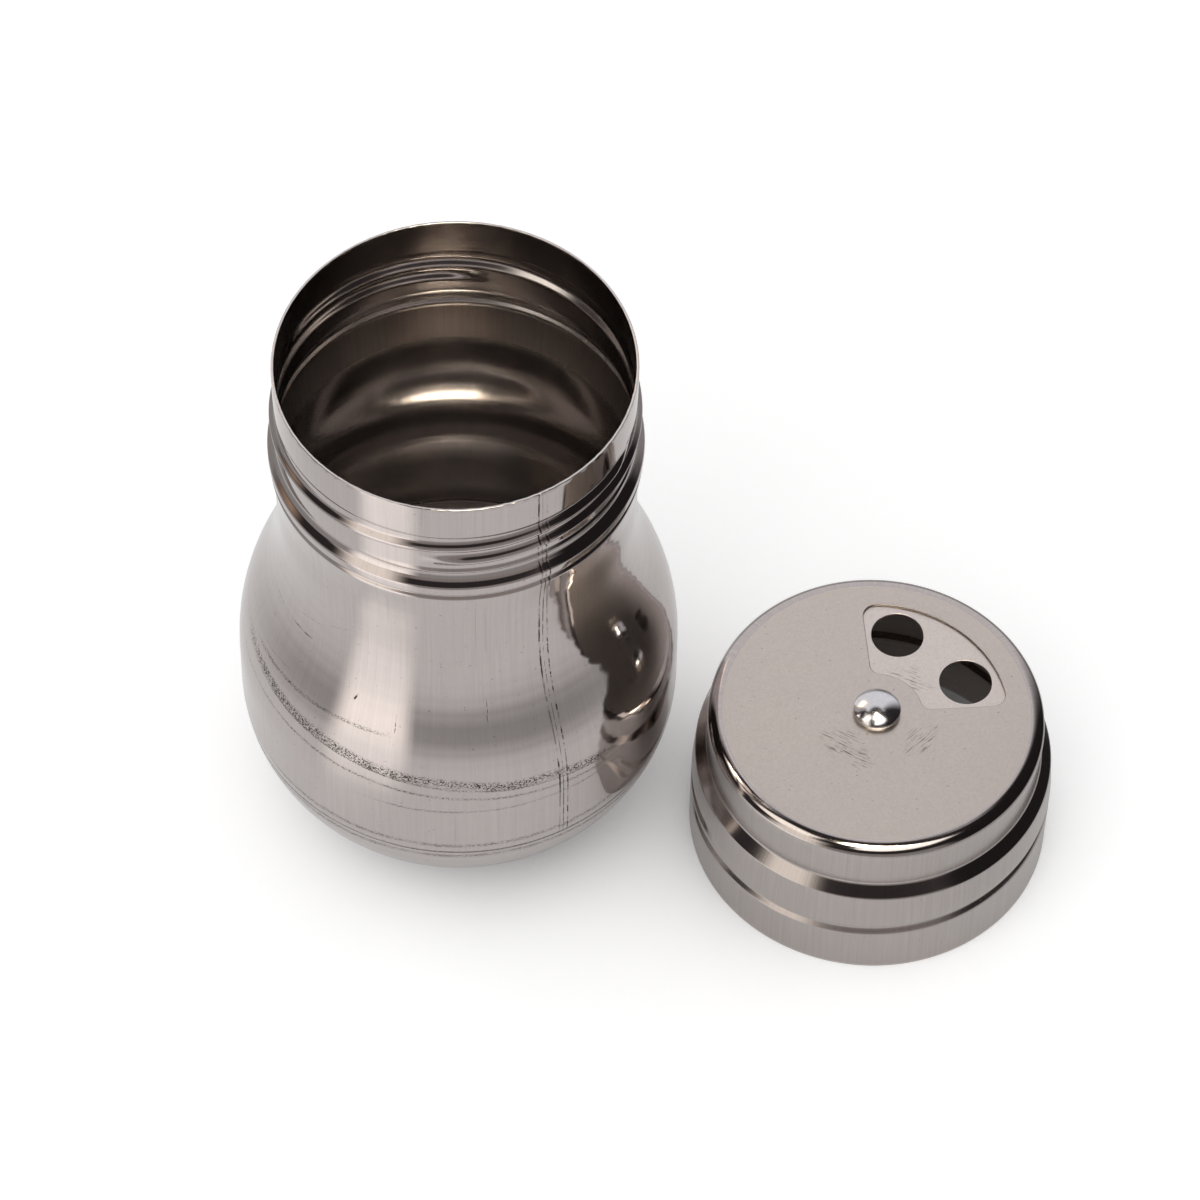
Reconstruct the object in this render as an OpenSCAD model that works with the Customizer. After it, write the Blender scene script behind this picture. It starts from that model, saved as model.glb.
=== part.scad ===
// Spice shaker dispenser: a pear-shaped pot pressed from thin stainless sheet, and its screw cap,
// which stands on the table beside the pot with its pouring window and rotating shutter.
// Millimetres, +Z up. The origin is on the table, on the pot's axis.

/* [Pot] */
// Height of the pot, from the table to the raw rim
pot_h = 104; // [98:1:116]
// Outer radius of the plain band below the rim
neck_r = 27.5; // [26:0.25:28.5]
// Outer radius of the belly's straight band
belly_r = 35; // [33:0.5:42]
// Radial rise of the waist, between belly and neck, over the neck's plain band
waist_rise = 0.35; // [-2:0.05:0.6]
// Thickness of the pot's sheet
pot_sheet = 0.4; // [0.3:0.05:0.6]
// Height of the belly band's lower end
belly_low_z = 26.5; // [22:0.5:30]
// Height at which the belly's outline turns into the shoulder
shoulder_low_z = 42.4; // [38:0.2:46]
// Height at which the shoulder turns into the waist, as a share of the way up to the flare
shoulder_high_share = 0.53; // [0.4:0.01:0.6]
// Depth from the rim down to where the waist starts to flare out
flare_drop = 26.5; // [24:0.5:30]
// Radius of the rounding from belly to shoulder
belly_arc_r = 39; // [20:1:60]
// Radius of the rounding from shoulder to waist
waist_arc_r = 50; // [30:1:60]
// Radius of the rounding from belly to base
lower_arc_r = 24; // [14:1:30]
// Height of the welded joint between the base dish and the body
base_joint_z = 23.4; // [21:0.2:26]
// Lean of the base's wall from upright, in degrees
base_lean = 38; // [30:1:44]
// Radius of the rounding at the foot
foot_arc_r = 5; // [2:0.5:8]

/* [Neck and thread] */
// Height of the plain band from the rim down to the thread
neck_plain = 6.6; // [6:0.2:8]
// Radial step from the plain band in to the root of the thread
root_step = 0.1; // [0.05:0.05:0.3]
// Depth from the rim down to the crest of the stop bead
bead_drop = 18.9; // [17.5:0.1:20]
// Height of the straight crest of the stop bead
bead_crest = 1.6; // [0.8:0.2:2.4]
// Height that one thread ridge climbs in a full turn
thread_lead = 6.4; // [5:0.2:7]
// Number of thread starts
thread_starts = 2; // [1:1:3]
// Angle that each neck ridge runs round, in degrees
neck_run = 265; // [180:5:270]
// Angle that each cap ridge runs round, in degrees
cap_run = 210; // [120:5:240]
// Width of a rolled ridge at its foot
ridge_w = 2.6; // [2:0.1:2.8]
// Height of a rolled ridge
ridge_h = 0.85; // [0.7:0.05:1]

/* [Cap] */
// Height of the cap
cap_h = 29.8; // [27:0.2:34]
// Thickness of the cap's sheet
cap_sheet = 0.3; // [0.25:0.05:0.45]
// Radial step from the neck's plain band in to the cap's upper band
crown_inset = 0.6; // [0.3:0.1:2]
// Radial gap between the cap's skirt and the pot's stop bead when the cap is on
skirt_gap = 0.1; // [0.05:0.05:0.3]
// Radial height of the stop bead above the neck
bead_rise = 1.2; // [1:0.05:1.5]
// Height of the skirt, from its raw edge to the ledge
skirt_h = 19; // [17:0.2:21]
// Height of the ledge between the skirt and the upper band
ledge_h = 1.9; // [1.4:0.1:3]
// Radius of the rounded shoulder between the upper band and the plate
crown_arc_r = 1.9; // [1:0.1:2.5]
// Height of the cap's thread above the skirt's edge, at its lower end
cap_thread_z = 8.9; // [8:0.1:10]

/* [Window and shutter] */
// Angle of the window in the plate, in degrees
window_span = 91; // [70:1:100]
// Radial margin between the cap's upper band and the window
window_margin = 5.9; // [4.9:0.1:8]
// Inner radius of the window
window_in_r = 7.4; // [6.5:0.1:9]
// Rounding of the window's outer corners
window_out_arc = 2.3; // [1:0.1:3]
// Rounding of the window's inner corners
window_in_arc = 1.7; // [0.8:0.1:2.2]
// Thickness of the shutter disc
shutter_t = 0.4; // [0.3:0.05:0.6]
// Gap between the plate and the shutter
shutter_gap = 0.1; // [0.05:0.05:0.25]
// Diameter of a pouring hole
pour_d = 8.4; // [6:0.2:9.4]
// Radial margin between the window's outer side and the middle of a pouring hole
hole_margin = 5.3; // [4.6:0.1:6.5]
// Angle between the two pouring holes, in degrees
pour_spread = 53; // [44:1:56]
// Diameter of a sprinkling hole
sprinkle_d = 2.2; // [1.5:0.1:2.6]

/* [Rivet and washer] */
// Diameter of the rivet's domed head
head_d = 7.5; // [6.5:0.1:9]
// Height of the rivet's domed head
head_h = 2; // [1.4:0.1:2.8]
// Diameter of the rivet's shank
shank_d = 3; // [2.5:0.1:3.6]
// Diameter of the rivet's clinched tail
tail_d = 5; // [4.4:0.1:6]
// Thickness of the rivet's clinched tail
tail_t = 0.8; // [0.5:0.1:1.4]
// Diameter of the spring washer
washer_d = 9.6; // [8:0.2:12]
// Thickness of the spring washer
washer_t = 0.25; // [0.2:0.05:0.35]
// Height of the spring washer's dish
washer_dish = 0.6; // [0.3:0.1:0.9]

/* [Placing] */
// Gap between the belly and the cap that stands beside it
stand_gap = 3.6; // [2:0.2:12]
// Direction from the pot to the cap, in degrees
stand_angle = -8.8; // [-30:0.2:30]

/* [Hidden] */
// Sides of a full circle
$fn = 144;
// Overrun of every cutting tool
over = 1;
// A quarter of a turn, in degrees
quarter_turn = 90;
// Angle of one step along a rounded outline
arc_step = 6;

// Radial running clearance of the shutter on the rivet
shutter_fit = 0.05;
// Radial clearance of the plate on the rivet
plate_fit = 0.02;
// Gap between the spring washer and the shutter
washer_gap = 0.1;
// Gap between the shutter's edge and the start of the cap's rounded shoulder
shutter_edge_gap = 0.8;

// Radii that follow the neck
root_r = neck_r - root_step;
waist_r = neck_r + waist_rise;
crown_r = neck_r - crown_inset;
window_out_r = crown_r - window_margin;
hole_circle_r = window_out_r - hole_margin;
bead_r = neck_r + bead_rise;
skirt_r = bead_r + skirt_gap + cap_sheet;

// Radii of the small roundings of the neck
bead_arc_r = 0.8;
crease_arc_r = 0.3;
neck_arc_r = 0.4;
// Height of the stop bead's upper flank, and of each side of the crease under the bead
bead_flank = 1.2;
crease_drop = 0.7;
// Lower end of the plain band, and the height over which the thread's root rises to it
band_z = pot_h - neck_plain;
root_rise = 0.6;
// Radial steps from the bead in to the crease and to the top of the flare
crease_depth = 0.55;
flare_inset = 0.13;
// Roundings at the foot and at the top of the flare: the second keeps a rounding inside the sheet
flare_arc_r = 60;
flare_top_arc_r = pot_sheet + crease_arc_r;
flare_z = pot_h - flare_drop;
shoulder_high_z = shoulder_low_z + (flare_z - shoulder_low_z) * shoulder_high_share;
bead_z = pot_h - bead_drop;
crease_z = bead_z - bead_crest / 2 - crease_drop;
flare_top_z = crease_z - crease_drop;

// Height of the corner of the base's outline, and the foot's radius there
base_corner_z = belly_low_z - lower_arc_r * tan(base_lean / 2);
foot_corner_r = belly_r - base_corner_z * tan(base_lean);

// Roundings and slight narrowing of the cap's skirt
ledge_arc_r = 0.8;
skirt_taper = 0.4;
skirt_taper_share = 0.7;
skirt_arc_r = 12;
skirt_taper_z = skirt_h * skirt_taper_share;

// Direction of the window's middle line, and of the thread's starts
window_dir = 50.5;
neck_thread_dir = -100;
cap_thread_dir = -178;
// Height of the neck ridges' lower ends
neck_thread_z = band_z - neck_run / 360 * thread_lead - ridge_w / 2;
// Angle over which a ridge dies away at each end
ridge_fade = 14;
// Angle of one step along a ridge
ridge_step = 6;
// Depth by which a ridge's foot sinks into the sheet, as a share of the sheet's thickness
ridge_bed_share = 0.45;
// Rounded section of a ridge: its foot's half width as a share of the ridge's width, then points
// from the lower to the upper side as shares of its width and of its height
ridge_foot_share = 0.52;
ridge_section_shares = [[-0.3, 0.55], [-0.11, 0.94], [0.11, 0.94], [0.3, 0.55]];
// Height left at a ridge's two ends, as a share of the foot's depth
ridge_end_share = 0.5;

// Layers of the cap's pivot, measured in the cap's own height
plate_z = cap_h - cap_sheet;
shutter_top_z = plate_z - shutter_gap;
shutter_low_z = shutter_top_z - shutter_t;
washer_top_z = shutter_low_z - washer_gap;
tail_top_z = washer_top_z - washer_dish - washer_t;
shutter_r = crown_r - crown_arc_r - shutter_edge_gap;

// Distance between neighbouring sprinkling holes, as a share of their diameter
sprinkle_pitch_share = 1.9;
// Number of sprinkling holes in the longest of their three rows
sprinkle_row = 4;

// Place of the cap on the table
stand_r = belly_r + skirt_r + stand_gap;
cap_x = stand_r * cos(stand_angle);
cap_y = stand_r * sin(stand_angle);

// Colours as the object shows them
satin_steel = [0.69, 0.67, 0.66];
bright_steel = [0.80, 0.80, 0.81];
plate_steel = [0.74, 0.71, 0.70];

// Length of a vector in the plane
function len2(v) = sqrt(v[0] * v[0] + v[1] * v[1]);
// Unit vector from a to b
function dir2(a, b) = [b[0] - a[0], b[1] - a[1]] / len2([b[0] - a[0], b[1] - a[1]]);
// Left-hand normal of a direction
function left2(d) = [-d[1], d[0]];
// Largest share of a leg that one corner's rounding takes, and the smallest radius worth rounding
leg_share = 0.5;
least_r = 0.001;
// Points of one rounded corner b between a and c, with radius r limited by the two legs
function corner(a, b, c, r) =
    let (
        d1 = dir2(a, b),
        d2 = dir2(b, c),
        turn = d1[0] * d2[1] - d1[1] * d2[0],
        angle = atan2(turn, d1[0] * d2[0] + d1[1] * d2[1]),
        reach = min(r * tan(abs(angle) / 2), len2(b - a) * leg_share, len2(c - b) * leg_share),
        radius = angle == 0 ? 0 : reach / tan(abs(angle) / 2),
        side = sign(turn),
        centre = b - d1 * reach + left2(d1) * radius * side,
        steps = max(1, ceil(abs(angle) / arc_step)),
        start = atan2(-left2(d1)[1] * side, -left2(d1)[0] * side)
    )
    radius < least_r ? [b] : [for (i = [0:steps]) centre + radius * [
        cos(start + angle * i / steps), sin(start + angle * i / steps)]];
// Outline through corners given as [radius, height, rounding]
function rounded(pts) = [
    for (i = [0:len(pts) - 1])
        let (p = [pts[i][0], pts[i][1]])
        if (i == 0 || i == len(pts) - 1) p
        else each corner([pts[i - 1][0], pts[i - 1][1]], p, [pts[i + 1][0], pts[i + 1][1]], pts[i][2])];
// Normal of an outline at its point i, to the left of its run, stretched at a corner
function mitre(path, i) =
    let (
        d1 = i == 0 ? dir2(path[0], path[1]) : dir2(path[i - 1], path[i]),
        d2 = i == len(path) - 1 ? d1 : dir2(path[i], path[i + 1]),
        n = left2(d1) + left2(d2)
    )
    n / len2(n) / (len2(n) / 2);
// The same outline moved by t to its left
function moved(path, t) = [for (i = [0:len(path) - 1]) path[i] + mitre(path, i) * t];
// Closed section of a sheet of thickness t whose outer face is the path
function sheet_section(path, t) = concat(path, [for (i = [len(path) - 1:-1:0]) moved(path, t)[i]]);
// Point of the line from a to b at the height z
function at_height(a, b, z) = a + (b - a) * (z - a[1]) / (b[1] - a[1]);
// The points at which a rising outline passes the height z
function cut_points(path, z) = [
    for (i = [0:len(path) - 2])
        if (path[i][1] < z && path[i + 1][1] >= z) at_height(path[i], path[i + 1], z)];
// Part of a rising outline above the height z, and the part below it
function above(path, z) = concat(cut_points(path, z), [for (p = path) if (p[1] > z) p]);
function below(path, z) = concat([for (p = path) if (p[1] < z) p], cut_points(path, z));

// Outer face of the whole pot, from the middle of its base up to the rim
pot_path = rounded([
    [0, 0, 0],
    [foot_corner_r, 0, foot_arc_r],
    [belly_r, base_corner_z, lower_arc_r],
    [belly_r, shoulder_low_z, belly_arc_r],
    [waist_r, shoulder_high_z, waist_arc_r],
    [waist_r, flare_z, flare_arc_r],
    [bead_r - flare_inset, flare_top_z, flare_top_arc_r],
    [bead_r - crease_depth, crease_z, crease_arc_r],
    [bead_r, bead_z - bead_crest / 2, bead_arc_r],
    [bead_r, bead_z + bead_crest / 2, bead_arc_r],
    [root_r, bead_z + bead_crest / 2 + bead_flank, neck_arc_r],
    [root_r, band_z - root_rise, 0],
    [neck_r, band_z, 0],
    [neck_r, pot_h, 0]]);

// Outer face of the cap, from the skirt's edge up to the rivet's hole
cap_path = rounded([
    [skirt_r, 0, 0],
    [skirt_r, skirt_taper_z, skirt_arc_r],
    [skirt_r - skirt_taper, skirt_h, ledge_arc_r],
    [crown_r, skirt_h + ledge_h, ledge_arc_r],
    [crown_r, cap_h, crown_arc_r],
    [shank_d / 2 + plate_fit, cap_h, 0]]);

// A ridge of height h and width w that climbs round a cylinder of radius r, outward when side is 1
// and inward when it is -1. Its foot is sunk by bed into the sheet, where its two ends die away.
module helix_ridge(r, h, w, bed, side, run, dir, z) {
    rings = ceil(run / ridge_step);
    count = len(ridge_section_shares) + 2;
    low = r - side * bed;
    least = ridge_end_share * bed / (h + bed);
    function grown(a) = least + (1 - least) * min(1, a / ridge_fade, (run - a) / ridge_fade);
    function ring(a) = concat(
        [[low, -ridge_foot_share * w, a]],
        [for (s = ridge_section_shares) [low + side * (bed + s[1] * h) * grown(a), s[0] * w, a]],
        [[low, ridge_foot_share * w, a]]);
    points = [for (i = [0:rings]) for (p = ring(i * run / rings)) [
        p[0] * cos(p[2] + dir), p[0] * sin(p[2] + dir), z + p[1] + p[2] / 360 * thread_lead]];
    wall = [for (i = [0:rings - 1]) for (j = [0:count - 1]) each
        let (
            a = i * count + j,
            b = i * count + (j + 1) % count
        )
        [[a, b, b + count], [a, b + count, a + count]]];
    first = [for (j = [1:count - 2]) [0, j + 1, j]];
    last = [for (j = [1:count - 2]) [rings * count, rings * count + j, rings * count + j + 1]];
    turned = [for (f = concat(wall, first, last)) side > 0 ? f : [f[0], f[2], f[1]]];
    polyhedron(points, turned);
}

// The ridges of one thread, one for each start
module thread(r, h, w, bed, side, run, dir, z) {
    for (i = [0:thread_starts - 1])
        helix_ridge(r, h, w, bed, side, run, dir + i * 360 / thread_starts, z);
}

// The body is open below, where the base dish is welded on. Its thread is rolled:
// a ridge outside, and a hollow of the same height behind it.
module pot_body() {
    bed = pot_sheet * ridge_bed_share;
    color(satin_steel)
        difference() {
            union() {
                rotate_extrude() polygon(sheet_section(above(pot_path, base_joint_z), pot_sheet));
                thread(root_r, ridge_h, ridge_w, bed, 1, neck_run, neck_thread_dir, neck_thread_z);
            }
            thread(root_r - pot_sheet, ridge_h, ridge_w - 2 * pot_sheet, bed, 1, neck_run,
                neck_thread_dir, neck_thread_z);
        }
}

module pot_base() {
    color(satin_steel)
        rotate_extrude() polygon(sheet_section(below(pot_path, base_joint_z), pot_sheet));
}

// Everything of the cap is drawn on its own axis and set on the table beside the pot
module at_cap() {
    translate([cap_x, cap_y, 0]) children();
}

// Outline of the window: two arcs, two radial sides and four rounded corners
module window_outline() {
    half = window_span / 2;
    out_turn = asin(window_out_arc / (window_out_r - window_out_arc));
    in_turn = asin(window_in_arc / (window_in_r + window_in_arc));
    function arc(c, r, a, b) =
        let (steps = max(2, ceil(abs(b - a) / arc_step)))
        [for (i = [0:steps]) c + r * [cos(a + (b - a) * i / steps), sin(a + (b - a) * i / steps)]];
    function polar(r, a) = r * [cos(a), sin(a)];
    polygon(concat(
        arc([0, 0], window_out_r, out_turn - half, half - out_turn),
        arc(polar(window_out_r - window_out_arc, half - out_turn), window_out_arc,
            half - out_turn, half + quarter_turn),
        arc(polar(window_in_r + window_in_arc, half - in_turn), window_in_arc,
            half + quarter_turn, half + 180 - in_turn),
        arc([0, 0], window_in_r, half - in_turn, in_turn - half),
        arc(polar(window_in_r + window_in_arc, in_turn - half), window_in_arc,
            in_turn - half - 180, -half - quarter_turn),
        arc(polar(window_out_r - window_out_arc, out_turn - half), window_out_arc,
            -half - quarter_turn, out_turn - half)));
}

// The cap is one drawn shell. Its thread is a groove outside and a ridge inside.
module cap_shell() {
    bed = cap_sheet * ridge_bed_share;
    color(plate_steel)
        at_cap()
            difference() {
                union() {
                    rotate_extrude() polygon(sheet_section(cap_path, cap_sheet));
                    thread(skirt_r - cap_sheet, ridge_h, ridge_w, bed, -1, cap_run, cap_thread_dir,
                        cap_thread_z);
                }
                thread(skirt_r, ridge_h, ridge_w - 2 * cap_sheet, bed, -1, cap_run, cap_thread_dir,
                    cap_thread_z);
                translate([0, 0, plate_z - over])
                    rotate([0, 0, window_dir])
                        linear_extrude(cap_sheet + 2 * over) window_outline();
            }
}

// The sprinkling holes: three rows of 3, 4 and 3, opposite the pouring holes
module sprinkle_holes(depth) {
    row_gap = sprinkle_d * sprinkle_pitch_share;
    for (row = [-1:1])
        let (
            count = sprinkle_row - abs(row),
            r = hole_circle_r + row * row_gap,
            step = 2 * asin(row_gap / 2 / r)
        )
        for (i = [0:count - 1])
            rotate([0, 0, 180 + (i - (count - 1) / 2) * step])
                translate([r, 0, 0]) cylinder(h = depth, d = sprinkle_d);
}

module shutter_disc() {
    color(bright_steel)
        at_cap()
            translate([0, 0, shutter_low_z])
                rotate([0, 0, window_dir])
                    difference() {
                        cylinder(h = shutter_t, r = shutter_r);
                        translate([0, 0, -over])
                            cylinder(h = shutter_t + 2 * over, r = shank_d / 2 + shutter_fit);
                        for (side = [-1, 1])
                            rotate([0, 0, side * pour_spread / 2])
                                translate([hole_circle_r, 0, -over])
                                    cylinder(h = shutter_t + 2 * over, d = pour_d);
                        translate([0, 0, -over]) sprinkle_holes(shutter_t + 2 * over);
                    }
}

module rivet() {
    dome_r = (head_d * head_d / 4 + head_h * head_h) / (2 * head_h);
    color(bright_steel)
        at_cap()
            union() {
                translate([0, 0, cap_h])
                    intersection() {
                        translate([0, 0, head_h - dome_r]) sphere(r = dome_r);
                        cylinder(h = head_h + over, d = head_d);
                    }
                translate([0, 0, tail_top_z]) cylinder(h = cap_h - tail_top_z, d = shank_d);
                translate([0, 0, tail_top_z - tail_t]) cylinder(h = tail_t, d = tail_d);
            }
}

module spring_washer() {
    inner_r = shank_d / 2 + shutter_fit;
    color(bright_steel)
        at_cap()
            rotate_extrude()
                polygon([
                    [inner_r, tail_top_z],
                    [tail_d / 2, tail_top_z],
                    [washer_d / 2, washer_top_z - washer_t],
                    [washer_d / 2, washer_top_z],
                    [tail_d / 2, tail_top_z + washer_t],
                    [inner_r, tail_top_z + washer_t]]);
}

pot_body();
pot_base();
cap_shell();
shutter_disc();
rivet();
spring_washer();
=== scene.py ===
"""Looks of a spice shaker: the open steel pot, and its screw cap standing beside it on the table.

Sizes are in millimetres in the pot's own frame, with +Z up and the origin on the table on the pot's
axis. The meshes are made in metres.
"""

import logging
import math
from dataclasses import dataclass, field
from enum import Enum
from functools import reduce
from typing import Callable, Sequence

import bmesh
import bpy
import numpy as np
from mathutils import Matrix, Vector
from mathutils.geometry import delaunay_2d_cdt

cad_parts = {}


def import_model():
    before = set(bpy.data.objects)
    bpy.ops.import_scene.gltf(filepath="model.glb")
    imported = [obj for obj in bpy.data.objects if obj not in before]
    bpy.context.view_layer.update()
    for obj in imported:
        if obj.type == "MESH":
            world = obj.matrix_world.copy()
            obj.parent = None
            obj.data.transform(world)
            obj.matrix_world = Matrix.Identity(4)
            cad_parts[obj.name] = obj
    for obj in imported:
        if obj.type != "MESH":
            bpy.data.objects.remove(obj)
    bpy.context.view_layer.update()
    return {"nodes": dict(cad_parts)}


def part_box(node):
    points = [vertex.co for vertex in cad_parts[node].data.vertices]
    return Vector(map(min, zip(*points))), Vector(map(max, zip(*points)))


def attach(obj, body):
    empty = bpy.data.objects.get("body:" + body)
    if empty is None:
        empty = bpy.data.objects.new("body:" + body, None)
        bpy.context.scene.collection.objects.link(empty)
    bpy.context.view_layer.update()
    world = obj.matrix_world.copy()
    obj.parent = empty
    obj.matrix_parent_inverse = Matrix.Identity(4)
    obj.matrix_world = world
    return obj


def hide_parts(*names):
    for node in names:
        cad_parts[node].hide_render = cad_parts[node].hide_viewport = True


LOG = logging.getLogger("spice_shaker")
MM = 0.001
TURN = 360.0
NO_ROUNDING = 1e-4
SAME_POINT = 2e-7
SAME_CORNER = 1e-7
COLUMN_STEP = 1.5
PIVOT_STEP = 7.5
FINE_RUN = 0.22
Colour = tuple[float, float, float]
Spot = tuple[float, float]
Socket = bpy.types.NodeSocket
Material = bpy.types.Material
Piece = bpy.types.Object
WHITE = (1.0, 1.0, 1.0, 1.0)
DIRT: Colour = (0.05, 0.042, 0.036)


class Slot(Enum):
    """Names of the part's material slots."""

    BODY = "body_steel"
    BASE = "base_steel"
    CAP = "cap_steel"
    SHUTTER = "shutter_steel"
    RIVET = "rivet_steel"
    SPRING = "spring_steel"


class Grain(Enum):
    """Way in which the fine lines of a rolled or turned sheet run."""

    UPRIGHT = "upright"
    TURNED = "turned"
    NONE = "none"


# ---------------------------------------------------------------- outlines


@dataclass(frozen=True)
class Corner:
    """One corner of an outline: its distance from the axis, its height and its rounding."""

    radius: float
    height: float
    rounding: float = 0.0


def smooth(value: np.ndarray | float) -> np.ndarray:
    """Ease a share from 0 to 1, cut off at both ends."""
    t = np.clip(value, 0.0, 1.0)
    return t * t * (3.0 - 2.0 * t)


def normals(path: np.ndarray, closed: bool = False) -> np.ndarray:
    """Find the normals to the left of an outline's run, stretched at its corners.

    Args:
        path: The outline's points, one row each.
        closed: Whether the last point joins the first.

    Returns:
        One normal per point, for moving the outline sideways by an even distance.
    """
    before = np.roll(path, 1, axis=0) if closed else np.vstack([2 * path[0] - path[1], path[:-1]])
    after = np.roll(path, -1, axis=0) if closed else np.vstack([path[1:], 2 * path[-1] - path[-2]])
    runs = []
    for start, end in ((before, path), (path, after)):
        run = end - start
        runs.append(run / np.linalg.norm(run, axis=1, keepdims=True))
    left = [np.column_stack([-run[:, 1], run[:, 0]]) for run in runs]
    total = left[0] + left[1]
    length = np.linalg.norm(total, axis=1, keepdims=True)
    return total / length / (length / 2)


def rounded(corners: Sequence[Corner], step: float = 4.0, leg_share: float = 0.5) -> np.ndarray:
    """Draw an outline through corners, each rounded as far as its two legs allow.

    Args:
        corners: The corners, in order.
        step: Angle of one step along a rounding, in degrees.
        leg_share: Largest share of a leg that one rounding takes.

    Returns:
        The outline's points as rows of radius and height.
    """
    points = [np.array([c.radius, c.height]) for c in corners]
    path = [points[0]]
    for a, b, c, corner in zip(points, points[1:], points[2:], corners[1:-1]):
        first, second = (b - a) / np.linalg.norm(b - a), (c - b) / np.linalg.norm(c - b)
        turn = first[0] * second[1] - first[1] * second[0]
        angle = math.atan2(turn, float(first @ second))
        half = math.tan(abs(angle) / 2)
        reach = min(corner.rounding * half, np.linalg.norm(b - a) * leg_share,
                    np.linalg.norm(c - b) * leg_share)
        if reach < NO_ROUNDING:
            path.append(b)
            continue
        radius, side = reach / half, math.copysign(1.0, turn)
        normal = np.array([-first[1], first[0]]) * side
        centre = b - first * reach + normal * radius
        count = max(2, math.ceil(abs(math.degrees(angle)) / step))
        start = math.atan2(-normal[1], -normal[0])
        for i in range(count + 1):
            at = start + angle * i / count
            path.append(centre + radius * np.array([math.cos(at), math.sin(at)]))
    path.append(points[-1])
    return np.array(path)


def divided(path: np.ndarray, longest: Callable[[float], float]) -> np.ndarray:
    """Cut an outline's long runs into shorter ones.

    Args:
        path: The outline's points as rows of radius and height.
        longest: Gives the longest run wanted at a height.

    Returns:
        The outline with the added points.
    """
    points = [path[0]]
    for a, b in zip(path, path[1:]):
        count = max(1, math.ceil(float(np.linalg.norm(b - a)) / longest(float(a[1] + b[1]) / 2)))
        points += [a + (b - a) * i / count for i in range(1, count + 1)]
    return np.array(points)


def cut_at(path: np.ndarray, height: float) -> tuple[np.ndarray, np.ndarray]:
    """Part a rising outline at a height.

    Args:
        path: The outline's points as rows of radius and height.
        height: Where to part it.

    Returns:
        The part below and the part above, both with the cut's own point.
    """
    i = int(np.argmax(path[:, 1] >= height))
    a, b = path[i - 1], path[i]
    at = a + (b - a) * (height - a[1]) / (b[1] - a[1])
    return np.vstack([path[:i], at]), np.vstack([at, path[i:]])


def apart(azimuth: np.ndarray | float, middle: float) -> np.ndarray | float:
    """Angle from a middle direction to an azimuth, from -180 to 180 degrees."""
    return (azimuth - middle + TURN / 2) % TURN - TURN / 2


def around(step: float, fine: Sequence[tuple[float, float, float]] = ()) -> np.ndarray:
    """Choose the azimuths of a turned piece's columns.

    Args:
        step: Angle between two columns, in degrees.
        fine: Stretches with closer columns, as middle, half width and step in degrees.

    Returns:
        The azimuths in radians, rising, over one turn.
    """
    angles = list(np.arange(0.0, TURN, step))
    for middle, half, close in fine:
        angles = [a for a in angles if abs(apart(a, middle)) > half]
        angles += [(middle + a) % TURN for a in np.arange(-half, half + close / 2, close)]
    return np.radians(np.array(sorted(angles)))


def circle(radius: float, angles: np.ndarray, centre: Spot = (0.0, 0.0)) -> np.ndarray:
    """Points of a circle in the plane, one at each angle."""
    return np.column_stack([centre[0] + radius * np.cos(angles), centre[1] + radius * np.sin(angles)])


def ripple(seed: int, azimuth: np.ndarray, height: np.ndarray, turns: tuple[int, int],
           pitch: Spot, count: int = 9) -> np.ndarray:
    """Add up waves that run round and up a turned piece and close on themselves.

    Args:
        seed: Starts the choice of the waves.
        azimuth: Azimuths in radians.
        height: Heights in millimetres.
        turns: Fewest and most waves around.
        pitch: Shortest and longest wave along the height, in millimetres.
        count: Number of waves.

    Returns:
        The waves' sum, about -1 to 1.
    """
    chance = np.random.default_rng(seed)
    total = np.zeros(np.broadcast(azimuth, height).shape)
    for _ in range(count):
        k = chance.integers(turns[0], turns[1] + 1)
        along = chance.choice([-1.0, 1.0]) * 2 * math.pi / chance.uniform(*pitch)
        total += np.sin(k * azimuth + along * height + chance.uniform(0, 2 * math.pi))
    return total / math.sqrt(count)


# ---------------------------------------------------------------- meshes


def strips(rows: int, columns: int, closed: bool = False) -> np.ndarray:
    """Join rows of points that run round an axis into quads, strip by strip.

    Args:
        rows: Number of rows.
        columns: Points in each row.
        closed: Whether the last row joins the first.

    Returns:
        The quads, as indices into the points.
    """
    index = np.arange(rows * columns).reshape(rows, columns)
    below = index if closed else index[:-1]
    above = np.roll(index, -1, axis=0) if closed else index[1:]
    quads = [below, np.roll(below, -1, axis=1), np.roll(above, -1, axis=1), above]
    return np.stack(quads, axis=2).reshape(-1, 4)


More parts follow.
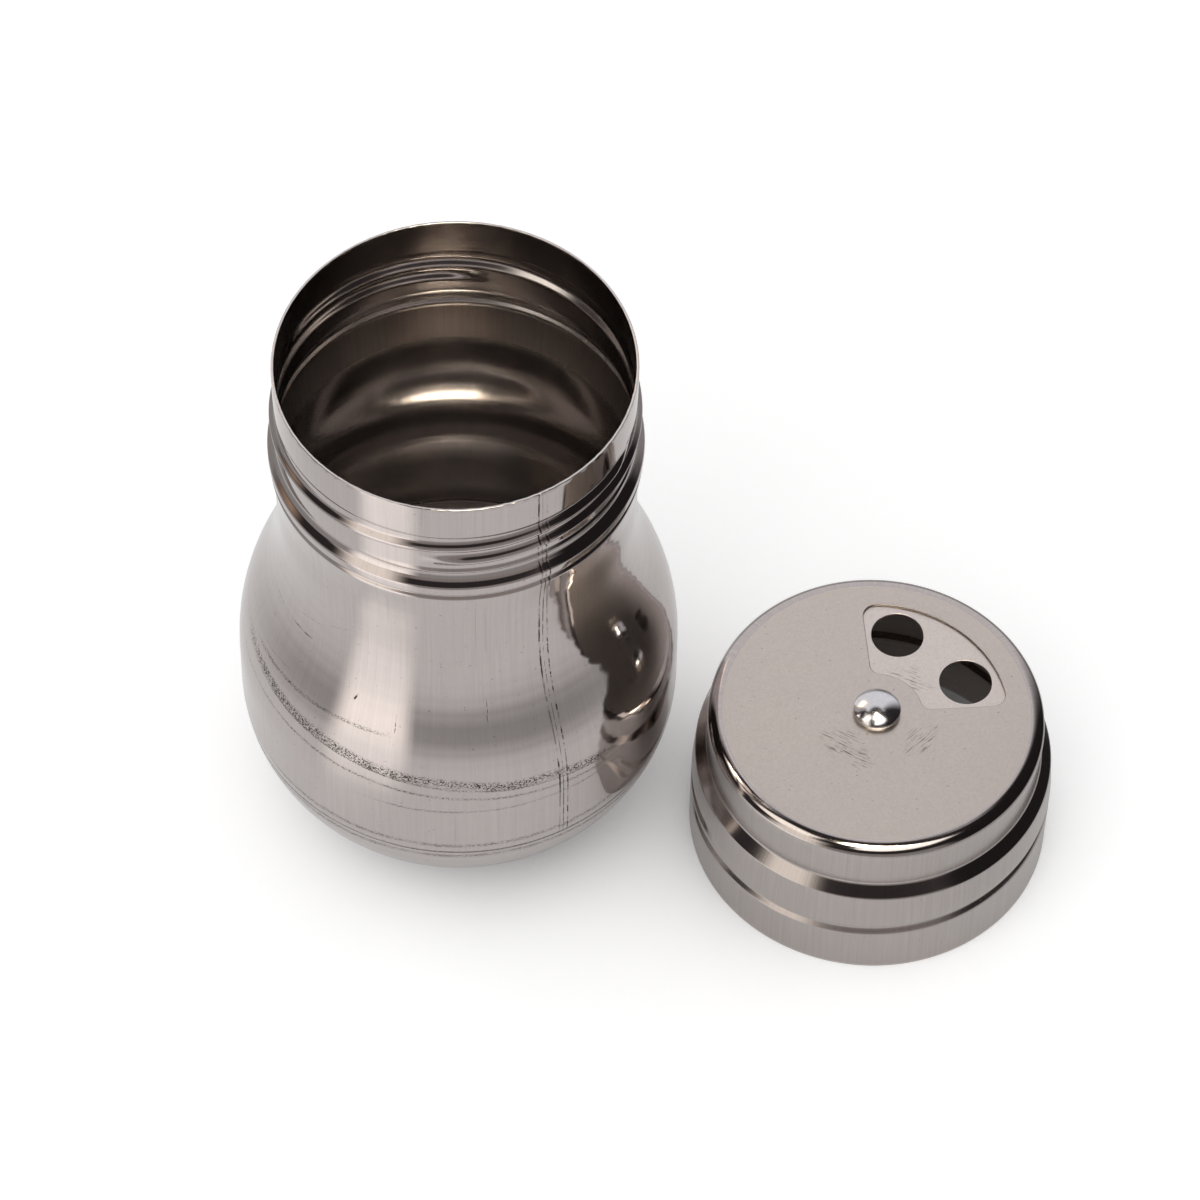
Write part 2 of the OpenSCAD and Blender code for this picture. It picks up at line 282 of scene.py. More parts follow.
class Sheet:
    """Collects the surfaces of one sheet metal piece and makes its object."""

    def __init__(self, name: str, axis: Spot = (0.0, 0.0)) -> None:
        """Start an empty piece.

        Args:
            name: Name of the piece.
            axis: Place of the piece's own upright axis, in millimetres.
        """
        self.name, self.axis = name, axis
        self.points: list[np.ndarray] = []
        self.grain: list[np.ndarray] = []
        self.faces: list[tuple[int, ...]] = []
        self.slots: list[int] = []
        self.count = 0

    def add(self, points: np.ndarray, grain: np.ndarray, faces: Sequence[Sequence[int]],
            slots: Sequence[int]) -> None:
        """Add a surface.

        Args:
            points: Its points about the piece's own axis.
            grain: For each point, the place that the fine lines of the finish follow.
            faces: Its faces as indices into the points.
            slots: Material slot of each face.
        """
        self.points.append(points)
        self.grain.append(grain)
        self.faces += [tuple(int(i) + self.count for i in face) for face in faces]
        self.slots += slots
        self.count += len(points)

    def turn(self, radii: np.ndarray, heights: np.ndarray, azimuths: np.ndarray, slots: Sequence[int],
             closed: bool = False, reference: float = 30.0) -> None:
        """Add a turned surface.

        Args:
            radii: Distance from the axis for each row, or for each row and column.
            heights: Height for each row, or for each row and column.
            azimuths: Azimuth of each column.
            slots: Material slot of each strip between two rows.
            closed: Whether the last row joins the first.
            reference: Radius on which the finish's fine lines are laid out.
        """
        rows, columns = len(radii), len(azimuths)
        radii, heights = (np.broadcast_to(value, (rows, columns)) for value in (radii, heights))
        points = np.stack([radii * np.cos(azimuths), radii * np.sin(azimuths), heights], axis=2)
        step = np.hypot(np.diff(radii[:, 0]), np.diff(heights[:, 0]))
        run = np.concatenate([[0.0], np.cumsum(step)])[:, None] + 0 * azimuths
        grain = np.stack([reference * np.cos(azimuths) + 0 * run,
                          reference * np.sin(azimuths) + 0 * run, run], axis=2)
        self.add(points.reshape(-1, 3), grain.reshape(-1, 3), strips(rows, columns, closed),
                 [slot for slot in slots for _ in range(columns)])

    def flat(self, outer: np.ndarray, holes: Sequence[np.ndarray], height: float, slot: int,
             fill: np.ndarray | None = None, push: Callable[[np.ndarray], np.ndarray] | None = None) -> None:
        """Add a flat sheet face with holes.

        Args:
            outer: Points of its outer edge.
            holes: Points of each hole's edge.
            height: Height of the face.
            slot: Its material slot.
            fill: Points inside the face that keep its triangles small.
            push: Gives the rise of the face at each point.
        """
        loops = [outer, *holes]
        points = np.vstack(loops + ([] if fill is None else [fill]))
        edges, start = [], 0
        for loop in loops:
            edges += [(start + i, start + (i + 1) % len(loop)) for i in range(len(loop))]
            start += len(loop)
        made = delaunay_2d_cdt([Vector(p) for p in points], edges, [], 1, SAME_CORNER)
        flat = np.array([tuple(v) for v in made[0]])
        faces = [tuple(f) for f in made[2]
                 if not any(inside(flat[list(f)].mean(axis=0), hole) for hole in holes)]
        rise = np.zeros(len(flat)) if push is None else push(flat)
        solid = np.column_stack([flat, height + rise])
        self.add(solid, solid.copy(), faces, [slot] * len(faces))

    def edge(self, loop: np.ndarray, outward: float, low: float, high: float, slot: int,
             roll: float = 0.08, burr: float = 0.02) -> tuple[np.ndarray, np.ndarray]:
        """Add the sheared edge of a sheet along a loop, rounded above and sharp below.

        Args:
            loop: Points of the edge, seen from above.
            outward: 1 where the sheet lies to the left of the loop's run, -1 to the right.
            low: Height of the sheet's lower face.
            high: Height of its upper face.
            slot: Its material slot.
            roll: Radius of the rounded upper edge.
            burr: Width of the lower edge's break.

        Returns:
            The loops on which the upper and the lower face end.
        """
        side = normals(loop, closed=True) * outward
        turns = np.radians([0.0, 22.5, 45.0, 67.5, 90.0])
        rows = [(roll * (1 - math.sin(t)), high - roll * (1 - math.cos(t))) for t in turns]
        rows += [(0.0, low + burr), (burr, low)]
        points = np.vstack([np.column_stack([loop + side * d, np.full(len(loop), z)]) for d, z in rows])
        faces = strips(len(rows), len(loop))
        self.add(points, points.copy(), faces, [slot] * len(faces))
        return loop + side * roll, loop + side * burr

    def make(self, materials: Sequence[Material], body: str,
             replaced: Sequence[str]) -> Piece:
        """Make the object, dress it and join it to the frame.

        Args:
            materials: Material of each slot number.
            body: Body of the frame that it moves with.
            replaced: Nodes of the frame that it stands for.

        Returns:
            The piece.
        """
        shift = np.array([*self.axis, 0.0])
        mesh = bpy.data.meshes.new(self.name)
        points = (np.vstack(self.points) + shift) * MM
        mesh.from_pydata(points.tolist(), [], self.faces)
        mesh.attributes.new("grain", "FLOAT_VECTOR", "POINT").data.foreach_set(
            "vector", np.vstack(self.grain).astype(np.float32).ravel())
        mesh.polygons.foreach_set("material_index", self.slots)
        shell = bmesh.new()
        shell.from_mesh(mesh)
        bmesh.ops.remove_doubles(shell, verts=shell.verts, dist=SAME_POINT)
        bmesh.ops.recalc_face_normals(shell, faces=shell.faces)
        shell.to_mesh(mesh)
        shell.free()
        for material in materials:
            mesh.materials.append(material)
        mesh.polygons.foreach_set("use_smooth", [True] * len(mesh.polygons))
        piece = bpy.data.objects.new(self.name, mesh)
        bpy.context.scene.collection.objects.link(piece)
        weighted = piece.modifiers.new("even_faces", "WEIGHTED_NORMAL")
        weighted.weight = 60
        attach(piece, body)
        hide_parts(*replaced)
        LOG.info("%s: %d points on body %s", self.name, len(mesh.vertices), body)
        return piece


def inside(point: np.ndarray, loop: np.ndarray) -> bool:
    """Tell whether a point of the plane lies inside a loop.

    Args:
        point: The point.
        loop: The loop's points, one row each.

    Returns:
        Whether the loop goes round the point.
    """
    a, b = loop, np.roll(loop, -1, axis=0)
    crosses = (a[:, 1] > point[1]) != (b[:, 1] > point[1])
    with np.errstate(divide="ignore", invalid="ignore"):
        at = a[:, 0] + (point[1] - a[:, 1]) * (b[:, 0] - a[:, 0]) / (b[:, 1] - a[:, 1])
    return bool(np.count_nonzero(crosses & (point[0] < at)) % 2)


# ---------------------------------------------------------------- finishes


def new_material(name: str) -> Material:
    """Make a material with a node tree.

    Args:
        name: Its name.

    Returns:
        The material.
    """
    made = bpy.data.materials.new(name)
    made.use_nodes = True
    return made


class Graph:
    """A node tree with short calls for the nodes that the finishes are made of."""

    def __init__(self, tree: bpy.types.NodeTree) -> None:
        """Take over an empty or filled tree and clear it."""
        self.tree = tree
        tree.nodes.clear()

    def node(self, kind: str, inputs: dict[str | int, object] | None = None,
             **settings: object) -> bpy.types.Node:
        """Add a node.

        Args:
            kind: Its type.
            inputs: What goes into its inputs: sockets to link, or the inputs' own values.
            **settings: Its properties.

        Returns:
            The node.
        """
        made = self.tree.nodes.new(kind)
        for key, value in settings.items():
            setattr(made, key, value)
        for key, value in (inputs or {}).items():
            if isinstance(value, Socket):
                self.tree.links.new(value, made.inputs[key])
            else:
                made.inputs[key].default_value = value
        return made

    def sum(self, operation: str, *values: object) -> Socket:
        """Work out one number from sockets or numbers, by a named step of arithmetic."""
        return self.node("ShaderNodeMath", dict(enumerate(values)), operation=operation).outputs[0]

    def product(self, *values: object) -> Socket:
        """Multiply sockets or numbers, from the left."""
        return reduce(lambda first, second: self.sum("MULTIPLY", first, second), values)

    def vector(self, operation: str, *values: object) -> Socket:
        """Work out one vector, or its length, from sockets or triples, by a named step."""
        made = self.node("ShaderNodeVectorMath", dict(enumerate(values)), operation=operation)
        return made.outputs["Value"] if operation == "LENGTH" else made.outputs[0]

    def parts(self, vector: Socket) -> tuple[Socket, ...]:
        """Part a vector into its three numbers."""
        return tuple(self.node("ShaderNodeSeparateXYZ", {0: vector}).outputs)

    def ease(self, value: object, low: float, high: float, start: float = 0.0,
             end: float = 1.0) -> Socket:
        """Ease a number from one value to another while an input goes from low to high.

        Args:
            value: The input.
            low: Input at which the result starts to change.
            high: Input at which it has changed.
            start: Result below low.
            end: Result above high.

        Returns:
            The result's socket.
        """
        return self.node("ShaderNodeMapRange", dict(enumerate((value, low, high, start, end))),
                         interpolation_type="SMOOTHSTEP").outputs[0]

    def window(self, value: object, low: float, high: float, edge: float) -> Socket:
        """1 where a number is between low and high, 0 outside, with soft edges.

        Args:
            value: The number.
            low: Lower end.
            high: Upper end.
            edge: Width of each soft edge.

        Returns:
            The result's socket.
        """
        return self.product(self.ease(value, low - edge / 2, low + edge / 2),
                            self.ease(value, high - edge / 2, high + edge / 2, 1.0, 0.0))

    def noise(self, vector: Socket, waves: float | Colour, detail: float = 2.0,
              roughness: float = 0.5) -> Socket:
        """Noise from 0 to 1 on a vector.

        Args:
            vector: Where to read the noise, in millimetres.
            waves: Waves per millimetre, the same all ways or along each part of the vector.
            detail: Number of finer layers.
            roughness: Strength of the finer layers.

        Returns:
            The noise's socket.
        """
        stretch = waves if isinstance(waves, tuple) else (waves,) * 3
        return self.node("ShaderNodeTexNoise", {
            "Vector": self.vector("MULTIPLY", vector, stretch), "Scale": 1.0, "Detail": detail,
            "Roughness": roughness}).outputs[0]

    def vary(self, base: object, noise: Socket, amount: float) -> Socket:
        """Raise a number by an amount of a noise above its middle, and lower it below."""
        return self.sum("MULTIPLY_ADD", self.sum("SUBTRACT", noise, 0.5), amount, base)

    def blend(self, share: object, first: object, second: object) -> Socket:
        """Blend two colours by a share.

        Args:
            share: How much of the second colour.
            first: First colour.
            second: Second colour.

        Returns:
            The colour's socket.
        """
        made = self.node("ShaderNodeMix", {0: share}, data_type="RGBA")
        colours = [s for s in made.inputs if s.type == "RGBA"]
        for socket, value in zip(colours, (first, second)):
            if isinstance(value, tuple):
                socket.default_value = (*value, 1.0)
            else:
                self.tree.links.new(value, socket)
        return next(s for s in made.outputs if s.type == "RGBA")

    def turned(self, vector: Socket, angle: float) -> Socket:
        """Turn a vector about the upright by an angle in degrees."""
        return self.node("ShaderNodeVectorRotate", {"Vector": vector, "Angle": math.radians(angle)},
                         rotation_type="Z_AXIS").outputs[0]

    def azimuth(self, vector: Socket, middle: float) -> Socket:
        """Azimuth of a vector in degrees, counted from a middle one to -180 and 180."""
        x, y, _ = self.parts(self.turned(vector, -middle))
        return self.sum("DEGREES", self.sum("ARCTAN2", y, x))

    def end(self, shader: bpy.types.Node) -> None:
        """End a material's tree with a shader."""
        self.node("ShaderNodeOutputMaterial", {"Surface": shader.outputs[0]})


class SteelGraph(Graph):
    """The tree of a steel finish, with the places on the piece that its nodes read.

    Attributes:
        place: Place in millimetres, about the piece's own upright axis.
        height: Height in millimetres.
        lines: Place that the fine lines follow.
    """

    def __init__(self, tree: bpy.types.NodeTree, axis: Spot) -> None:
        """Start the tree.

        Args:
            tree: The material's tree.
            axis: Place of the piece's own upright axis, in millimetres.
        """
        super().__init__(tree)
        where = self.node("ShaderNodeTexCoord").outputs["Object"]
        scaled = self.node("ShaderNodeVectorMath", {"Vector": where, "Scale": 1 / MM}, operation="SCALE")
        self.place = self.vector("SUBTRACT", scaled.outputs[0], (*axis, 0.0))
        self.height = self.parts(self.place)[2]
        self.lines = self.node("ShaderNodeAttribute", attribute_name="grain").outputs["Vector"]

    def arc(self, azimuth: float) -> Socket:
        """Distance round the axis from an azimuth, in millimetres."""
        far = self.vector("LENGTH", self.vector("MULTIPLY", self.place, (1, 1, 0)))
        return self.product(self.sum("RADIANS", self.azimuth(self.place, azimuth)), far)


class Mark:
    """Something that darkens places of a steel finish."""

    def darkness(self, graph: SteelGraph) -> Socket:
        """How dark each place is, from 0 to 1."""
        raise NotImplementedError


@dataclass(frozen=True)
class Speckle(Mark):
    """A ring of dark specks where a tool has marked the sheet, with its climb in millimetres a degree."""

    height: float
    width: float
    middle: float
    half: float
    strength: float
    size: float = 0.35
    climb: float = 0.0

    def darkness(self, graph: SteelGraph) -> Socket:
        """Darkness of the specks.

        Args:
            graph: The finish's tree.

        Returns:
            How dark each place is.
        """
        fine, half_width = 1 / self.size, self.width / 2
        specks = graph.noise(graph.place, (fine, fine, fine * 1.6), 2.0, 0.7)
        patch = graph.noise(graph.place, 0.11, 2.0, 0.5)
        turn = graph.azimuth(graph.place, self.middle)
        level = graph.sum("MULTIPLY_ADD", turn, -self.climb, graph.vary(graph.height, patch, self.width))
        ring = graph.window(level, self.height - half_width, self.height + half_width, self.width * 0.8)
        arc = graph.window(turn, -self.half, self.half, self.half * 0.5)
        return graph.product(ring, arc, graph.ease(patch, 0.3, 0.55, 0.55, 1.0),
                             graph.ease(specks, 0.48, 0.57), self.strength)


@dataclass(frozen=True)
class Scratch(Mark):
    """One plain scratch on a turned face, leaning from the upright by an angle in degrees."""

    azimuth: float
    height: float
    length: float
    lean: float
    width: float
    strength: float
    bend: float = 0.6

    def darkness(self, graph: SteelGraph) -> Socket:
        """Darkness of the scratch.

        Args:
            graph: The finish's tree.

        Returns:
            How dark each place is.
        """
        up, aside = math.cos(math.radians(self.lean)), math.sin(math.radians(self.lean))
        side, rise = graph.arc(self.azimuth), graph.sum("SUBTRACT", graph.height, self.height)
        along = graph.sum("MULTIPLY_ADD", rise, up, graph.product(side, aside))
        across = graph.sum("MULTIPLY_ADD", rise, -aside, graph.product(side, up))
        across = graph.vary(across, graph.noise(graph.place, 0.35, 1.0, 0.5), self.bend)
        line = graph.ease(graph.sum("ABSOLUTE", across), self.width * 0.3, self.width, 1.0, 0.0)
        ends = graph.window(along, -self.length / 2, self.length / 2, self.length * 0.4)
        worn = graph.ease(graph.noise(graph.place, 1.2, 2.0, 0.6), 0.35, 0.6, 0.2, 1.0)
        return graph.product(line, ends, worn, self.strength)


@dataclass(frozen=True)
class Seam(Mark):
    """An upright weld that was ground flat, with dark dashes along its two sides."""

    azimuth: float
    half_gap: float
    width: float
    strength: float

    def darkness(self, graph: SteelGraph) -> Socket:
        """Darkness of the dashes.

        Args:
            graph: The finish's tree.

        Returns:
            How dark each place is.
        """
        across = graph.arc(self.azimuth)
        dashes = []
        for side, wide in ((-1.0, 1.0), (1.0, 0.8), (-0.1, 0.5)):
            off = graph.sum("ABSOLUTE", graph.sum("SUBTRACT", across, side * self.half_gap))
            line = graph.ease(off, self.width * wide * 0.2, self.width * wide, 1.0, 0.0)
            dash = graph.noise(graph.place, (0.9, 0.9, 0.55 + 0.15 * side), 3.0, 0.65)
            slow = graph.noise(graph.place, (0.1, 0.1, 0.08 + 0.02 * side), 1.0, 0.5)
            dashes.append(graph.product(line, graph.ease(dash, 0.42, 0.56, 0.08, 1.0),
                                        graph.ease(slow, 0.34, 0.56, 0.25, 1.0)))
        darkest = reduce(lambda first, second: graph.sum("MAXIMUM", first, second), dashes)
        return graph.product(darkest, self.strength)


@dataclass(frozen=True)
class Scuff(Mark):
    """A patch of short straight scratches on a flat face."""

    x: float
    y: float
    reach: float
    angle: float
    pitch: float
    strength: float

    def darkness(self, graph: SteelGraph) -> Socket:
        """Darkness of the scratches.

        Args:
            graph: The finish's tree.

        Returns:
            How dark each place is.
        """
        from_middle = graph.vector("SUBTRACT", graph.place, (self.x, self.y, 0.0))
        along, across, _ = graph.parts(graph.turned(from_middle, -self.angle))
        far = graph.sum("ADD", graph.sum("ABSOLUTE", along),
                        graph.product(graph.sum("ABSOLUTE", across), 1.4))
        patch = graph.ease(far, self.reach * 0.5, self.reach, 1.0, 0.0)
        flat = graph.node("ShaderNodeCombineXYZ", {0: along, 1: across}).outputs[0]
        hair = graph.noise(flat, (0.35, 1 / self.pitch, 1.0), 2.0, 0.5)
        return graph.product(patch, graph.ease(hair, 0.52, 0.61), self.strength)


@dataclass(frozen=True)
class Polish:
    """A range of heights that is polished brighter than the rest of a piece."""

    low: float
    high: float
    edge: float
    roughness: float


@dataclass(frozen=True)
class Steel:
    """A finish of stainless steel.

    Attributes:
        name: Name of the material.
        colour: Colour of the metal.
        roughness: How much it spreads a reflection.
        spread: How much the roughness differs from place to place.
        grain: Way in which its fine lines run.
        depth: Depth of the fine lines, in millimetres.
        fine: Lines per millimetre.
        orange_peel: Depth of the sheet's fine unevenness, in millimetres.
        mottle: How much its colour differs from place to place.
        streaks: Darkness of its worn upright lines.
        pitting: Darkness of its scattered specks.
        brushed: How much its fine lines differ in brightness.
        tones: Darkest and palest share of its colour.
        brush_lines: Darker and paler lines per millimetre.
        dirt_roughness: How much rougher it is where it is dark.
        polishes: Ranges of heights that are polished.
        marks: Specks, seams and scuffs on it.
    """

    name: str
    colour: Colour
    roughness: float
    spread: float = 0.04
    grain: Grain = Grain.NONE
    depth: float = 0.002
    fine: float = 7.0
    orange_peel: float = 0.001
    mottle: float = 0.05
    streaks: float = 0.0
    pitting: float = 0.3
    brushed: float = 1.2
    tones: Spot = (0.86, 1.14)
    brush_lines: float = 2.6
    dirt_roughness: float = 0.25
    polishes: tuple[Polish, ...] = ()
    marks: tuple[Mark, ...] = ()

    def material(self, axis: Spot = (0.0, 0.0)) -> Material:
        """Make the material.

        Args:
            axis: The piece's own upright axis, in millimetres.

        Returns:
            The material.
        """
        made = new_material(self.name)
        graph = SteelGraph(made.node_tree, axis)
        cloud = graph.noise(graph.place, (0.045, 0.045, 0.05), 4.0, 0.6)
        fleck = graph.noise(graph.place, 0.6, 3.0, 0.6)
        rough = graph.vary(graph.vary(self.roughness, cloud, self.spread * 2), fleck, self.spread)
        for polish in self.polishes:
            share = graph.window(graph.height, polish.low, polish.high, polish.edge)
            rough = graph.node("ShaderNodeMix", {0: share, 2: rough, 3: polish.roughness},
                               data_type="FLOAT").outputs[0]
        fibre = graph.noise(graph.lines, self.stretch(self.brush_lines), 3.0, 0.65)
        shade = graph.vary(graph.vary(0.5, cloud, self.mottle * 2), fleck, self.mottle)
        shade = graph.vary(shade, fibre, self.brushed)
        low, high = (tuple(min(1.0, c * share) for c in self.colour) for share in self.tones)
        dark = self.darkness(graph)
        graph.end(graph.node("ShaderNodeBsdfPrincipled", {
            "Metallic": 1.0, "Base Color": graph.blend(dark, graph.blend(shade, low, high), DIRT),
            "Roughness": graph.sum("MULTIPLY_ADD", dark, self.dirt_roughness, rough),
            "Normal": self.relief(graph)}))
        return made

    def stretch(self, fine: float) -> Colour:
        """Stretch a noise along the fine lines.

        Args:
            fine: Lines per millimetre.

        Returns:
            Waves per millimetre along each part of the place that the lines follow.
        """
        slow = fine / 60
        if self.grain is Grain.UPRIGHT:
            return fine, fine, slow
        return (slow, slow, fine) if self.grain is Grain.TURNED else (fine, fine, fine)

    def darkness(self, graph: SteelGraph) -> Socket:
        """Add up the pits, the worn lines and the marks.

        Args:
            graph: The finish's tree.

        Returns:
            How dark each place is, from 0 to 1.
        """
        pits = graph.noise(graph.place, 1.6, 2.0, 0.6)
        total = graph.ease(pits, 0.69, 0.76, 0.0, self.pitting)
        if self.streaks:
            streak = graph.noise(graph.lines, (1.3, 1.3, 0.02), 3.0, 0.6)
            worn = graph.noise(graph.lines, (0.12, 0.12, 0.06), 2.0, 0.5)
            line = graph.product(graph.ease(streak, 0.60, 0.75), graph.ease(worn, 0.45, 0.65))
            total = graph.sum("MULTIPLY_ADD", line, self.streaks, total)
        for mark in self.marks:
            total = graph.sum("ADD", total, mark.darkness(graph))
        return graph.sum("MINIMUM", total, 1.0)

    def relief(self, graph: SteelGraph) -> Socket:
        """Raise the fine lines and the sheet's unevenness.

        Args:
            graph: The finish's tree.

        Returns:
            The direction that each place faces.
        """
        rise = graph.product(graph.noise(graph.place, (0.22, 0.22, 0.14), 1.0, 0.4), self.orange_peel)
        if self.grain is not Grain.NONE:
            fibre = graph.noise(graph.lines, self.stretch(self.fine), 3.0, 0.6)
            rise = graph.sum("MULTIPLY_ADD", fibre, self.depth, rise)
        return graph.node("ShaderNodeBump", {"Strength": 1.0, "Distance": MM, "Height": rise}).outputs[0]


# ---------------------------------------------------------------- pieces


@dataclass
class Thread:
    """Rolled ridges that climb round a neck or a skirt.

    Attributes:
        starts: Number of ridges.
        lead: Climb of one ridge in a full turn.
        run: Angle that each ridge runs round, in degrees.
        direction: Azimuth at which the first ridge starts.
        height: Height of a ridge's middle at its start.
        half_width: Half the width of a ridge at its foot.
        depth: Radial height of a ridge, negative where it goes inward.
        fade: Angle over which a ridge dies away at each end.
    """

    starts: int
    lead: float
    run: float
    direction: float
    height: float
    half_width: float
    depth: float
    fade: float = 16.0

    def push(self, height: np.ndarray, azimuth: np.ndarray,
             level: float | None = None, reach: float = 0.0) -> np.ndarray:
        """Work out how far the ridges move the sheet.

        Args:
            height: Heights of the rows.
            azimuth: Azimuths of the columns, in radians.
            level: Height of a level lower side, which a ridge keeps to as it climbs.
            reach: How far below its middle the lower side may lie then.

        Returns:
            The radial move for each row and column.
        """
        total = np.zeros(np.broadcast(height, azimuth).shape)
        for i in range(self.starts):
            along = (np.degrees(azimuth) - self.direction - i * TURN / self.starts) % TURN
            middle = self.height + along / TURN * self.lead
            grown = smooth(np.minimum(along, self.run - along) / self.fade)
            below = self.half_width + 0 * middle
            if level is not None:
                below = np.clip(middle - level, self.half_width, reach)
            off = (height - middle) / np.where(height < middle, below, self.half_width)
            total = np.maximum(total, grown * np.cos(np.clip(off, -1, 1) * math.pi / 2) ** 2)
        return total * self.depth


@dataclass
class Pot:
    """The pot: a body of thin sheet welded onto a base dish.

    The sizes are the part's own, in millimetres and degrees.
    """

    height: float = 104.0
    neck: float = 27.5
    belly: float = 35.0
    waist_rise: float = 0.35
    sheet: float = 0.4
    belly_low: float = 26.5
    shoulder_low: float = 42.4
    shoulder_high_share: float = 0.53
    flare_drop: float = 26.5
    belly_rounding: float = 39.0
    waist_rounding: float = 50.0
    lower_rounding: float = 24.0
    flare_rounding: float = 60.0
    joint: float = 23.4
    base_lean: float = 38.0
    foot_rounding: float = 5.0
    band: float = 6.6
    root_step: float = 0.1
    root_rise: float = 0.6
    band_rounding: float = 0.8
    bead_drop: float = 18.9
    bead_crest: float = 1.6
    bead_rise: float = 1.2
    bead_flank: float = 1.5
    bead_rounding: float = 0.8
    root_rounding: float = 3.0
    crease_drop: float = 0.7
    crease_depth: float = 0.55
    crease_rounding: float = 0.3
    flare_inset: float = 0.13
    flare_lip_rounding: float = 0.7
    seam_azimuth: float = -60.0
    seam_half: float = 0.62
    seam_groove: float = 0.02
    groove_width: float = 0.12
    seam_reach: float = 2.4
    seam_step: float = 0.12
    column_step: float = 1.25
    long_run: float = 1.0
    joint_groove: float = 0.006
    rim_rounding: float = 0.1
    rim_wear: float = 0.10
    rim_worn: float = 0.35
    rim_spread: float = 0.03
    wear_range: float = 1.6
    wave: float = 0.022
    wave_inset: float = 1.85
    wave_fade: float = 8.0
    wave_top: float = 86.0
    base_wave: float = 0.012
    thread: Thread = field(default_factory=lambda: Thread(
        starts=2, lead=6.4, run=265.0, direction=-100.0, height=91.39, half_width=1.42, depth=0.8))
    crease: Thread = field(default_factory=lambda: Thread(
        starts=1, lead=1.2, run=130.0, direction=-124.0, height=88.75, half_width=0.62, depth=0.34,
        fade=34.0))

    def outline(self) -> np.ndarray:
        """Draw the outer face, from the middle of the base up to the rim.

        Returns:
            The outline's points as rows of radius and height.
        """
        corner_z = self.belly_low - self.lower_rounding * math.tan(math.radians(self.base_lean / 2))
        foot = self.belly - corner_z * math.tan(math.radians(self.base_lean))
        waist, root = self.neck + self.waist_rise, self.neck - self.root_step
        bead = self.neck + self.bead_rise
        flare = self.height - self.flare_drop
        shoulder = self.shoulder_low + (flare - self.shoulder_low) * self.shoulder_high_share
        crest = self.height - self.bead_drop
        low, high = crest - self.bead_crest / 2, crest + self.bead_crest / 2
        crease, band = low - self.crease_drop, self.height - self.band
        thread_low, thread_high = high + self.bead_flank, band + self.root_rise
        path = rounded([
            Corner(0, 0), Corner(foot, 0, self.foot_rounding),
            Corner(self.belly, corner_z, self.lower_rounding),
            Corner(self.belly, self.shoulder_low, self.belly_rounding),
            Corner(waist, shoulder, self.waist_rounding), Corner(waist, flare, self.flare_rounding),
            Corner(bead - self.flare_inset, crease - self.crease_drop, self.flare_lip_rounding),
            Corner(bead - self.crease_depth, crease, self.crease_rounding),
            Corner(bead, low, self.bead_rounding), Corner(bead, high, self.bead_rounding),
            Corner(root, thread_low, self.root_rounding),
            Corner(root, band - self.root_rise, self.band_rounding),
            Corner(self.neck, band, self.band_rounding), Corner(self.neck, self.height)])
        return divided(path, lambda z: FINE_RUN if thread_low < z < thread_high else self.long_run)

    def columns(self) -> np.ndarray:
        """Choose the azimuths of the columns, close together beside the weld."""
        return around(self.column_step, [(self.seam_azimuth, self.seam_reach, self.seam_step)])

    def push(self, height: np.ndarray, azimuth: np.ndarray) -> np.ndarray:
        """Work out how far ridges, weld and waves move the sheet outward.

        Args:
            height: Heights of the rows.
            azimuth: Azimuths of the columns.

        Returns:
            The radial move for each row and column.
        """
        arc = np.radians(apart(np.degrees(azimuth), self.seam_azimuth)) * self.neck
        groove = sum(np.exp(-((arc - side * self.seam_half) / self.groove_width) ** 2) for side in (-1, 1))
        flat = np.exp(-(arc / (self.seam_half * 0.8)) ** 4)
        weld = -self.seam_groove * (groove + 0.4 * flat) * smooth((height - self.joint) / 2)
        calm = smooth((height - self.joint) / self.wave_fade)
        calm = calm * smooth((self.wave_top - height) / self.wave_fade)
        waves = self.wave * calm * (ripple(3, azimuth, height, (2, 7), (24, 70)) - self.wave_inset)
        dents = 0.5 * self.wave * calm * ripple(8, azimuth, height, (7, 16), (14, 40))
        ridges = np.maximum(self.thread.push(height, azimuth), self.crease.push(height, azimuth))
        return ridges + weld + waves + dents

    def body(self, outside: Material, within: Material) -> Piece:
        """Make the body.

        Args:
            outside: Finish of its outer face.
            within: Finish of its inner face, paler than the outer face's as painted light.

        Returns:
            The piece.
        """
        _, path = cut_at(self.outline(), self.joint)
        path[-1, 1] -= self.rim_rounding
        inner = path + normals(path) * self.sheet
        turns = np.radians([0, 30, 60, 90])
        edge = self.rim_rounding
        outer_r, inner_r, top = self.neck - edge, self.neck - self.sheet + edge, self.height - edge
        rim = [(outer_r + edge * math.cos(t), top + edge * math.sin(t)) for t in turns]
        rim += [(inner_r - edge * math.sin(t), top + edge * math.cos(t)) for t in turns]
        section = np.vstack([path, rim[1:-1], inner[::-1]])
        rows = np.concatenate([path[:, 1], [self.height] * (len(rim) - 2), path[::-1, 1]])[:, None]
        azimuths = self.columns()
        radii = section[:, :1] + self.push(rows, azimuths)
        radii[0] -= self.joint_groove
        near_rim = smooth((section[:, 1:] - self.height + self.rim_worn) / self.rim_worn)
        wear = ripple(5, azimuths, 0 * section[:, 1:], (30, 170), (9, 10), 14)
        wear = np.clip(0.5 + 0.5 * wear / self.wear_range, 0, 1)
        heights = section[:, 1:] - self.rim_wear * near_rim * wear
        radii += near_rim * self.rim_spread * (wear - 0.5)
        slots = [0] * (len(path) + 2) + [1] * (len(section) - len(path) - 3) + [0]
        sheet = Sheet("shaker_body")
        sheet.turn(radii, heights, azimuths, slots, closed=True)
        return sheet.make([outside, within], "pot", ["pot_body"])

